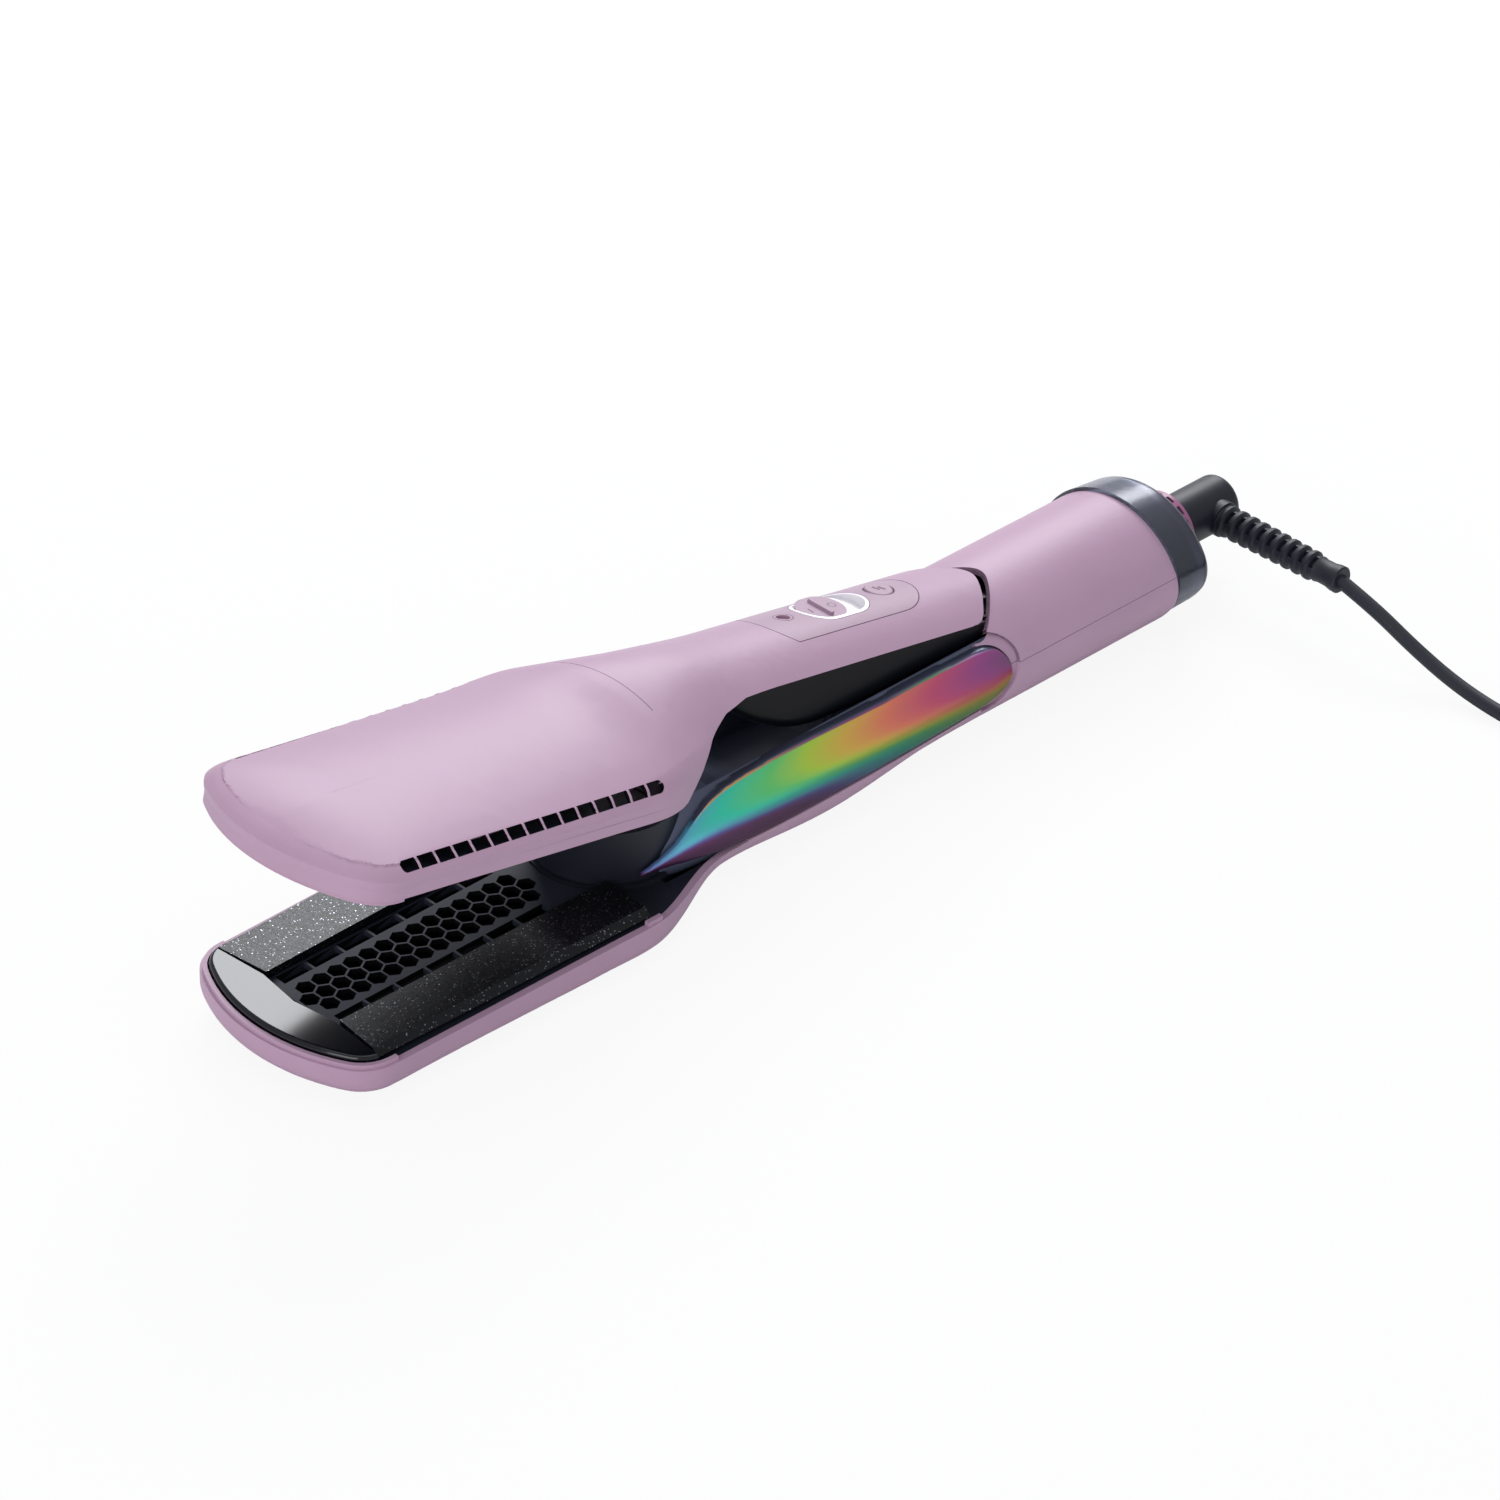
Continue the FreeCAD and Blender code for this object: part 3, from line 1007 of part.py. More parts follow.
def barrel_parts():
    axis = AXIS_Z
    add("motor_can", rod((MOTOR_X0, 0, axis), (MOTOR_X1, 0, axis), MOTOR_R).cut(
        rod((MOTOR_X0 + 2, 0, axis), (MOTOR_X1 + 1, 0, axis), SHAFT_R + 0.1)))
    cradle = tube((MOTOR_X0 + 3, 0, axis), (MOTOR_X1 - 3, 0, axis), MOTOR_R + CRADLE_WALL, MOTOR_R + 0.05)
    floor = dome_z(290, 8, WALL, False) + SEAT
    roof = dome_z(290, 8, WALL, True) - SEAT
    ribs = []
    for s in (-1, 1):
        for z0, z1 in ((floor, axis - MOTOR_R + 1.0), (axis + MOTOR_R - 1.0, roof)):
            y0, y1 = sorted((s * 6, s * 8))
            ribs.append(box(MOTOR_X0 + 5, MOTOR_X1 - 5, y0, y1, z0, z1).cut(
                rod((MOTOR_X0, 0, axis), (MOTOR_X1, 0, axis), MOTOR_R + 0.05)))
    add("motor_cradle", joined([cradle] + ribs))
    add("motor_shaft", rod((MOTOR_X0 + 3, 0, axis), (IMPELLER_X1 + 0.6, 0, axis), SHAFT_R))
    hub = tube((IMPELLER_X0, 0, axis), (IMPELLER_X1, 0, axis), IMPELLER_HUB, SHAFT_R)
    blades = []
    for i in range(BLADES):
        blade = box(IMPELLER_X0 + 0.5, IMPELLER_X1 - 0.5, -0.5, 0.5, IMPELLER_HUB - 0.5, IMPELLER_R)
        blade.rotate(Vector((IMPELLER_X0 + IMPELLER_X1) / 2, 0, 0), Vector(0, 0, 1), 28)
        blade.rotate(Vector(0, 0, 0), Vector(1, 0, 0), 360 / BLADES * i)
        blade.translate(Vector(0, 0, axis))
        blades.append(blade.cut(rod((IMPELLER_X0 - 5, 0, axis), (IMPELLER_X1 + 5, 0, axis), IMPELLER_HUB - 0.4)))
    add("impeller", joined([hub] + blades))
    mesh = rod((FILTER_X, 0, axis), (FILTER_X + 1, 0, axis), FILTER_R)
    holes = []
    for i in range(-4, 5):
        for k in range(-4, 5):
            if math.hypot(i, k) * 2.8 < FILTER_R - FILTER_RIM - 1:
                holes.append(box(FILTER_X - 1, FILTER_X + 3, i * 2.8 - 1, i * 2.8 + 1,
                                 axis + k * 2.8 - 1, axis + k * 2.8 + 1))
    mesh = mesh.cut(Part.makeCompound(holes))
    rim = tube((FILTER_X, 0, axis), (CAP_X0 - 0.2, 0, axis), FILTER_R, FILTER_R - FILTER_RIM)
    add("filter_mesh", joined([mesh, rim]))
    # Control board on the far wall, on posts
    board = box(266, 310, BOARD_Y, BOARD_Y + BOARD_THICK, AXIS_Z - BOARD_HALF, AXIS_Z + BOARD_HALF)
    radius = HIGH_CORNER[-1][1] - WALL
    drop = POST_Z + POST_R
    post_end = HANDLE_HALF - WALL - radius + math.sqrt(radius ** 2 - drop ** 2) - SEAT
    posts = [rod((x, BOARD_Y + 1, AXIS_Z + z), (x, post_end, AXIS_Z + z), POST_R)
             for x in (270, 306) for z in (-POST_Z, POST_Z)]
    chips = [box(272, 282, BOARD_Y - 1.8, BOARD_Y, AXIS_Z - 6, AXIS_Z + 4),
             box(290, 300, BOARD_Y - 1.5, BOARD_Y, AXIS_Z, AXIS_Z + 6)]
    add("control_board", joined([board] + posts + chips))
    # Heater and fuse lie in the duct under the trough, on the casing's floor
    floor = dome_z(HEATER_X0, HEATER_SIDE, WALL, False) + SEAT
    roof = DUCT_TOP - 0.05
    heater = [box(HEATER_X0, HEATER_X1, -HEATER_SIDE, HEATER_SIDE, floor, floor + MICA),
              box(HEATER_X0, HEATER_X1, -HEATER_SIDE, HEATER_SIDE, roof - MICA, roof)]
    for i in range(9):
        x = HEATER_X0 + 1.5 + (HEATER_X1 - HEATER_X0 - 4) * i / 8
        heater.append(box(x, x + 1, -HEATER_SIDE, HEATER_SIDE, floor, roof))
    add("air_heater", joined(heater))
    fuse_z = dome_z(FUSE_X, FUSE_R, WALL, False) + SEAT + FUSE_R
    add("thermal_fuse", rod((FUSE_X - 5, 0, fuse_z), (FUSE_X + 5, 0, fuse_z), FUSE_R))


# Rear cap, intake ring, swivel and elbow

def oval(x, inset):
    """The barrel's section at its rear end: four domes' arcs and corners."""
    reach = HANDLE_HALF - inset
    radius = HIGH_CORNER[-1][1] - inset
    rise = HIGH_END[-1][1] - AXIS_Z - inset
    dome = ((reach - radius) ** 2 + rise * rise - radius * radius) / (2 * (rise - radius))
    meet = math.asin((dome - rise) / (dome - radius))

    def at(y, z):
        return Vector(x, y, AXIS_Z + z)

    def corner(a, sy, sz):
        return at(sy * (reach - radius + radius * math.cos(a)), sz * radius * math.sin(a))
    edges = []
    for sz in (1, -1):
        edges.append(Part.Arc(corner(meet, -1, sz), at(0, sz * rise), corner(meet, 1, sz)).toShape())
    for sy in (1, -1):
        edges.append(Part.Arc(corner(meet, sy, 1), at(sy * reach, 0), corner(meet, sy, -1)).toShape())
    return Part.Face(Part.Wire(Part.__sortEdges__(edges)))


def drum(x0, x1, inset):
    return oval(x0, inset).extrude(Vector(x1 - x0, 0, 0))


def rear_parts():
    axis = AXIS_Z
    cap = drum(CAP_X0, CAP_X1, CAP_INSET)
    cap = cap.makeFillet(CAP_ROUND, [e for e in cap.Edges if e.BoundBox.XMin > CAP_X1 - 0.01])
    cap = cap.cut(drum(CAP_X0 - 1, CAP_X1 - CAP_WALL, CAP_INSET + CAP_WALL))
    cap = cap.cut(rod((CAP_X0, 0, axis), (CAP_X1 + 1, 0, axis), INTAKE_R + 0.1))
    add("rear_cap", cap)
    core = drum(CAP_X0, CAP_X1 - CAP_WALL - 0.2, CORE_INSET)
    core = core.cut(rod((CAP_X0 - 1, 0, axis), (CAP_X1 + 1, 0, axis), INTAKE_R + 0.1))
    seat = drum(CAP_X0 - 4, CAP_X0, WALL + 0.15).cut(drum(CAP_X0 - 5, CAP_X0 + 1, CORE_INSET + 1))
    band = drum(CAP_X0, CAP_X0 + 1.2, CAP_INSET + CAP_WALL + 0.1).cut(drum(CAP_X0 - 1, CAP_X0 + 2, CORE_INSET + 1))
    core = joined([core, seat, band])
    add("cap_core", core)
    ring = tube((CAP_X0 + 4, 0, axis), (INTAKE_X1, 0, axis), INTAKE_R, INTAKE_R - INTAKE_WALL)
    slots = []
    for i in range(INTAKE_WINDOWS):
        slot = box(CAP_X1 + 3.2, INTAKE_X1 - 1.1, -1.35, 1.35, INTAKE_R - INTAKE_WALL - 1, INTAKE_R + 2)
        slot.rotate(Vector(0, 0, 0), Vector(1, 0, 0), 360 / INTAKE_WINDOWS * (i + 0.5))
        slot.translate(Vector(0, 0, axis))
        slots.append(slot)
    add("intake_ring", ring.cut(Part.makeCompound(slots)))
    bush = tube((CAP_X0 + 10, 0, axis), (INTAKE_X1, 0, axis), INTAKE_R - INTAKE_WALL - 0.05, STUB_R + 0.05)
    add("swivel_bush", bush)
    elbow = rod((ELBOW_X0, 0, axis), (ELBOW_X1, 0, axis), ELBOW_R)
    elbow = elbow.makeFillet(2.2, [e for e in elbow.Edges if e.BoundBox.XMin > ELBOW_X1 - 0.01])
    stub = rod((CAP_X0 + 9, 0, axis), (ELBOW_X0 + 1, 0, axis), STUB_R)
    collar = rod((CAP_X0 + 7.6, 0, axis), (CAP_X0 + 9.7, 0, axis), STUB_R + 1.6)
    exit_y = -ELBOW_R - 0.6
    boss = rod((RELIEF_X, 0, axis), (RELIEF_X, exit_y, axis), RELIEF_R0 + 0.9)
    add("cord_elbow", joined([elbow, stub, collar, boss]))
    # Strain relief: ribs along its own axis, turned to leave sideways
    pitch = RELIEF_LONG / RIB_COUNT
    wires = []
    for i in range(RIB_COUNT):
        outer = RELIEF_R0 + (RELIEF_R1 - RELIEF_R0) * i / (RIB_COUNT - 1)
        core_r = outer - RIB_DEEP
        for share, radius in ((0.0, core_r), (0.22, outer), (0.62, outer), (0.84, core_r)):
            centre = Vector(pitch * (i + share), 0, 0)
            wires.append(Part.Wire(Part.makeCircle(radius, centre, Vector(1, 0, 0))))
    wires.append(Part.Wire(Part.makeCircle(RELIEF_R1 - RIB_DEEP, Vector(RELIEF_LONG, 0, 0), Vector(1, 0, 0))))
    relief = Part.makeLoft(wires, True, True)
    relief.rotate(Vector(0, 0, 0), Vector(0, 0, 1), -90)
    relief.translate(Vector(RELIEF_X, exit_y, axis))
    add("strain_relief", relief)
    return exit_y - RELIEF_LONG


# Cord

def rounded_route(points):
    """Straight runs joined by tangent arcs, with the radii printed."""
    points = [Vector(*p) for p in points]
    edges, radii = [], []
    here = points[0]
    for a, b, c in zip(points, points[1:], points[2:]):
        into, out = b - a, c - b
        shorter = min(into.Length, out.Length)
        turn = into.getAngle(out)
        reach = 0.45 * shorter
        radii.append(round(reach / math.tan(turn / 2), 1))
        u, v = into.normalize(), out.normalize()
        start, end = b - u * reach, b + v * reach
        inward = (v - u).normalize()
        sag = radii[-1] / math.cos(turn / 2) - radii[-1]
        edges.append(Part.makeLine(here, start))
        edges.append(Part.Arc(start, b + inward * sag, end).toShape())
        here = end
    edges.append(Part.makeLine(here, points[-1]))
    print("cord arc radii", radii)
    return Part.Wire(edges)


def tangent_arc(start, heading, end):
    """The arc from start along heading to end, and its heading there."""
    chord = end - start
    c = Vector(chord).normalize()
    side = heading - c * heading.dot(c)
    angle = heading.getAngle(c)
    mid = (start + end) * 0.5 + side.normalize() * (chord.Length / 2 * math.tan(angle / 2))
    return Part.Arc(start, mid, end).toShape(), c * (2 * heading.dot(c)) - heading


def swept(route, start, heading, name):
    circle = Part.Wire(Part.makeCircle(CORD_R, start, heading))
    solid = route.makePipeShell([circle], True, False)
    expected = math.pi * CORD_R ** 2 * route.Length
    print(name, "length", round(route.Length, 1), "volume share", round(solid.Volume / expected, 4))
    return solid


def coil_radii():
    """Radius and climb of each half turn: in and out again, a layer up at each reversal."""
    step = COIL_PITCH / 2
    inwards = [COIL_R - step * i for i in range(LAYER_HALF_TURNS)]
    turns = []
    for layer in range(COIL_LAYERS):
        going_in = layer % 2 == 0
        turns += [(r, 0.0) for r in (inwards if going_in else reversed(inwards))]
        if layer < COIL_LAYERS - 1:
            turns.append((inwards[-1] - step if going_in else COIL_R + step, COIL_PITCH))
    return turns


def coil_route(start):
    """The coil's path of quarter turns, with the point and heading at its end."""
    edges, marks = [], []
    here, heading = start, Vector(0, -1, 0)
    side = 1
    for radius, climb in coil_radii():
        bulge = math.sqrt(radius ** 2 + climb ** 2 / 4)
        middle = here + Vector(side * radius, 0, climb / 2) + heading * bulge
        end = here + Vector(side * 2 * radius, 0, climb)
        for goal in (middle, end):
            edge, heading = tangent_arc(here, heading, goal)
            edges.append(edge)
            here = goal
        heading = Vector(0, round(heading.y), 0)
        side = -side
    for edge in edges:
        marks += edge.discretize(9)[:-1]
    apart = 14
    least = min((marks[i] - marks[k]).Length for i in range(0, len(marks), 2)
                for k in range(i + apart, len(marks), 2))
    print("coil least gap", round(least - 2 * CORD_R, 2), "turns", len(coil_radii()) / 2)
    return Part.Wire(edges), here, heading


def cord_parts(relief_end):
    points = [(RELIEF_X, relief_end, AXIS_Z)] + CORD_RUN[1:]
    run = rounded_route(points)
    start = Vector(*points[0])
    cord = swept(run, start, Vector(*points[1]) - start, "cord_run")
    square = box(RELIEF_X - 5, RELIEF_X + 5, relief_end - 0.02, relief_end + 5, AXIS_Z - 5, AXIS_Z + 5)
    add("cord_run", one_solid(cord.cut(square)))
    joint = Vector(*points[-1])
    coil, end, heading = coil_route(joint)
    add("cord_coil", swept(coil, joint, Vector(0, -1, 0), "cord_coil"))
    # The tail turns back beside the coil, down to the plug's height
    plug_z = PLUG_HIGH / 2
    turn = math.radians(TAIL_TURN)
    tail_points, here, way = [tuple(end)], Vector(end), math.pi / 2
    for i, drop in enumerate(TAIL_DROPS[1:]):
        step = Vector(math.cos(way), math.sin(way), 0)
        here = here + step * TAIL_STEP
        tail_points.append((here.x, here.y, end.z - drop))
        way -= turn
    plug_start = Vector(here.x, here.y - TAIL_STEP, plug_z)
    tail_points.append(tuple(plug_start))
    tail = rounded_route(tail_points)
    first = Vector(*tail_points[1]) - Vector(*tail_points[0])
    add("cord_tail", swept(tail, Vector(*tail_points[0]), first, "cord_tail"))
    x, y = plug_start.x, plug_start.y
    sides = [Vector(x - 5, y, 0), Vector(x + 5, y, 0), Vector(x + PLUG_WIDE / 2, y - 14, 0),
             Vector(x + PLUG_WIDE / 2, y - PLUG_LONG, 0), Vector(x - PLUG_WIDE / 2, y - PLUG_LONG, 0),
             Vector(x - PLUG_WIDE / 2, y - 14, 0)]
    plug = Part.Face(Part.makePolygon(sides + sides[:1])).extrude(Vector(0, 0, PLUG_HIGH))
    plug = plug.makeFillet(2.5, [e for e in plug.Edges if e.BoundBox.ZLength > 1 and e.BoundBox.YMax < y - 5])
    add("plug", plug)
    pins = []
    for s in (-1, 1):
        px = x + s * PLUG_PIN_GAP / 2
        tip = y - PLUG_LONG - PLUG_PIN_LONG
        pin = rod((px, y - PLUG_LONG, plug_z), (px, tip, plug_z), PLUG_PIN_R)
        pins.append(pin.makeFillet(1.2, [e for e in pin.Edges if e.BoundBox.YMax < tip + 0.1]))
    add("plug_pins", Part.makeCompound(pins))


def main():
    outer, lower, barrel, arm = casings()
    room = full_skin(casing_columns(WALL + FIT), LOW_LAW, HIGH_LAW, WALL + FIT)
    add("lower_casing", boss_on(lower, outer))
    add("barrel_upper_casing", barrel)
    arm_parts(outer, arm)
    head_parts(room)
    handle_parts(room)
    arm_shell()
    barrel_parts()
    cord_parts(rear_parts())
    os.makedirs("parts", exist_ok=True)
    for name, shape in nodes.items():
        if not shape.isValid():
            print("INVALID", name)
        print(name, shape.ShapeType, len(shape.Solids), round(shape.Volume, 1))
        shape.exportStep("parts/" + name + ".step")


main()
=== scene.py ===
"""Looks of the two-armed hot-air hair styler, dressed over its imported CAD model."""

import json
import math

import bmesh
import bpy
from mathutils import Matrix, Vector
from mathutils.bvhtree import BVHTree


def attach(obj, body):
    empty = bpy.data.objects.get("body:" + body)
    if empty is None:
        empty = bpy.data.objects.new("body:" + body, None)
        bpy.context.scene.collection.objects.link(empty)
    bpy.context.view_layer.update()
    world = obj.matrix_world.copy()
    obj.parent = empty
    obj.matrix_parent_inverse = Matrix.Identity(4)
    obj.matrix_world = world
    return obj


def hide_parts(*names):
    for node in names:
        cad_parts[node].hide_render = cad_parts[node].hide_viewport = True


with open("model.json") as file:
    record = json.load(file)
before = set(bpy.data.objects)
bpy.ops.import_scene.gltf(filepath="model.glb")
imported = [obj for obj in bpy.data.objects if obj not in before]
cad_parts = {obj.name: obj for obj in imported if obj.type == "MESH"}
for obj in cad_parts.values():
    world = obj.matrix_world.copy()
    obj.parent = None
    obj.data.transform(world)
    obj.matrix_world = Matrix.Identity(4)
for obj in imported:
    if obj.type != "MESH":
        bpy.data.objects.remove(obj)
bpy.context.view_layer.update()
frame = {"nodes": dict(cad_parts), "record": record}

MM = 0.001
# The drawing's X starts at the nose; the model's origin is amidships
AHEAD = 182.25
# The arm's hinge pin, how far the arm stands open in the photograph, and the barrel's middle height
HINGE = Vector((263.4, 0, 27.8))
OPEN_DEG = 10.75
ARM_OPEN = Matrix.Rotation(math.radians(OPEN_DEG), 3, "Y")
ARM_UP = ARM_OPEN @ Vector((0, 0, 1))
ARM_ALONG = ARM_OPEN @ Vector((1, 0, 0))
AXIS_Z = 18.535


def at(x, y, z):
    """A point of the drawing, in millimetres, as a place in the model."""
    return Vector((x - AHEAD, y, z)) * MM


def on_arm(x, y, z):
    """A point drawn on the closed upper arm, where it lies with the arm open."""
    return at(*(HINGE + ARM_OPEN @ (Vector((x, y, z)) - HINGE)))


def closed_place(place):
    """Where a point of the arm lies, in mm of the drawing, with the arm closed."""
    drawn = Vector(place) / MM + Vector((AHEAD, 0, 0))
    return ARM_OPEN.transposed() @ (drawn - HINGE) + HINGE


# Camera: where the photograph was taken from, in degrees, pixels and metres
VIEW_TURN = -46.41
VIEW_RISE = 33.92
VIEW_ROLL = 2.36
FOCAL_PIXELS = 6067.0
PICTURE = 1500
EYE = Vector((-0.9727, -0.9193, 0.9148))


def set_camera():
    """A camera with the photograph's viewing angle, focal length and roll."""
    turn, rise, roll = (math.radians(a) for a in (VIEW_TURN, VIEW_RISE, VIEW_ROLL))
    back = Vector((math.sin(turn) * math.cos(rise), -math.cos(turn) * math.cos(rise), math.sin(rise)))
    level = Vector((math.cos(turn), math.sin(turn), 0))
    upright = back.cross(level)
    across = math.cos(roll) * level + math.sin(roll) * upright
    up = -math.sin(roll) * level + math.cos(roll) * upright
    data = bpy.data.cameras.new("camera")
    data.sensor_width = 36
    data.lens = data.sensor_width * FOCAL_PIXELS / PICTURE
    data.clip_start, data.clip_end = 0.01, 50
    camera = bpy.data.objects.new("camera", data)
    camera.matrix_world = Matrix.Translation(EYE) @ Matrix((across, up, back)).transposed().to_4x4()
    bpy.context.scene.collection.objects.link(camera)
    bpy.context.scene.camera = camera


# Materials

# Sizes in the finishes, in mm: the mottle's clouds, the mica flakes and the film's waves
CLOUD = 14.0
FLAKE = 0.28
FILM_WAVE = 35.0
# The film's colours: where they begin and end along the handle, how far they come earlier towards the
# panel's lower edge, and how far they sway
FILM_FROM, FILM_TO = 180.0, 334.0
FILM_EARLY = 74.0
FILM_SWAY = 8.0
# The line on the panel's raised upper edge: where its colours begin and end along the handle, how wide
# it is and how soon it fades
LINE_FROM, LINE_TO = 114.0, 252.0
LINE_WIDE = 0.7
LINE_FADE = 0.25
# The height at which the smoky cap's tint, with its painted highlights and shade, ends
CAP_TOP = 38.0


def linear(colour):
    """An sRGB hex colour as linear values with full cover."""
    parts = [int(colour[i:i + 2], 16) / 255 for i in (1, 3, 5)]
    return (*(c / 12.92 if c <= 0.04045 else ((c + 0.055) / 1.055) ** 2.4 for c in parts), 1.0)


def add_node(tree, kind, inputs=None, **settings):
    """Adds one node with its settings; its inputs take values or other nodes' outputs."""
    made = tree.nodes.new(kind)
    for name, value in settings.items():
        setattr(made, name, value)
    for name, value in (inputs or {}).items():
        if isinstance(value, bpy.types.NodeSocket):
            tree.links.new(value, made.inputs[name])
        else:
            made.inputs[name].default_value = value
    return made


def new_material(name, **sockets):
    """An empty finish with its shader; returns the material, its tree, its shader and the coordinates."""
    made = bpy.data.materials.new(name)
    made.use_nodes = True
    tree = made.node_tree
    shader = tree.nodes["Principled BSDF"]
    for key, value in sockets.items():
        shader.inputs[key.replace("_", " ")].default_value = value
    place = add_node(tree, "ShaderNodeTexCoord").outputs["Object"]
    return made, tree, shader, place


def stops(node, marks):
    """Sets a colour ramp's marks, as (position, linear colour)."""
    ramp = node.color_ramp
    while len(ramp.elements) > 1:
        ramp.elements.remove(ramp.elements[-1])
    ramp.elements[0].position, ramp.elements[0].color = marks[0]
    for position, colour in marks[1:]:
        ramp.elements.new(position).color = colour


def moulded(name, colour, roughness, grain=0.4, relief=0.02, mottle=0.04, **sockets):
    """A moulded or lacquered surface: a faint mottle, uneven gloss and a fine grain, sizes in mm."""
    made, tree, shader, place = new_material(name, Roughness=roughness, **sockets)
    cloud = add_node(tree, "ShaderNodeTexNoise", {"Vector": place, "Scale": 1 / (CLOUD * MM), "Detail": 3.0})
    shade = linear(colour)
    dark = (*(c * (1 - mottle) for c in shade[:3]), 1)
    tint = add_node(tree, "ShaderNodeValToRGB", {"Fac": cloud.outputs["Fac"]})
    stops(tint, [(0.3, dark), (0.7, shade)])
    tree.links.new(tint.outputs["Color"], shader.inputs["Base Color"])
    gloss = add_node(tree, "ShaderNodeMapRange", {"Value": cloud.outputs["Fac"],
                     "To Min": roughness * 0.92, "To Max": roughness * 1.08})
    tree.links.new(gloss.outputs["Result"], shader.inputs["Roughness"])
    fine = add_node(tree, "ShaderNodeTexNoise", {"Vector": place, "Scale": 1 / (grain * MM), "Detail": 2.0})
    bump = add_node(tree, "ShaderNodeBump", {"Height": fine.outputs["Fac"], "Strength": 0.3,
                    "Distance": relief * MM})
    tree.links.new(bump.outputs["Normal"], shader.inputs["Normal"])
    return made


def glitter_ceramic():
    """Ceramic-coated aluminium with mica flakes: dark, glassy, and full of sparks."""
    made, tree, shader, place = new_material("glitter_ceramic", Roughness=0.3, Specular_IOR_Level=0.27)
    flakes = add_node(tree, "ShaderNodeTexVoronoi", {"Vector": place, "Scale": 1 / (FLAKE * MM)})
    spark = add_node(tree, "ShaderNodeSeparateColor", {"Color": flakes.outputs["Color"]})
    lit = add_node(tree, "ShaderNodeMapRange", {"Value": spark.outputs["Red"], "From Min": 0.93,
                   "From Max": 1.0})
    tint = add_node(tree, "ShaderNodeValToRGB", {"Fac": lit.outputs["Result"]})
    stops(tint, [(0.0, linear("#0C0D10")), (0.5, linear("#2A2C32")), (1.0, linear("#A9ADB6"))])
    tree.links.new(tint.outputs["Color"], shader.inputs["Base Color"])
    tree.links.new(lit.outputs["Result"], shader.inputs["Metallic"])
    rough = add_node(tree, "ShaderNodeMapRange", {"Value": spark.outputs["Green"], "To Min": 0.26,
                     "To Max": 0.42})
    tree.links.new(rough.outputs["Result"], shader.inputs["Roughness"])
    bump = add_node(tree, "ShaderNodeBump", {"Height": spark.outputs["Blue"], "Strength": 0.35,
                    "Distance": 0.03 * MM})
    tree.links.new(bump.outputs["Normal"], shader.inputs["Normal"])
    return made


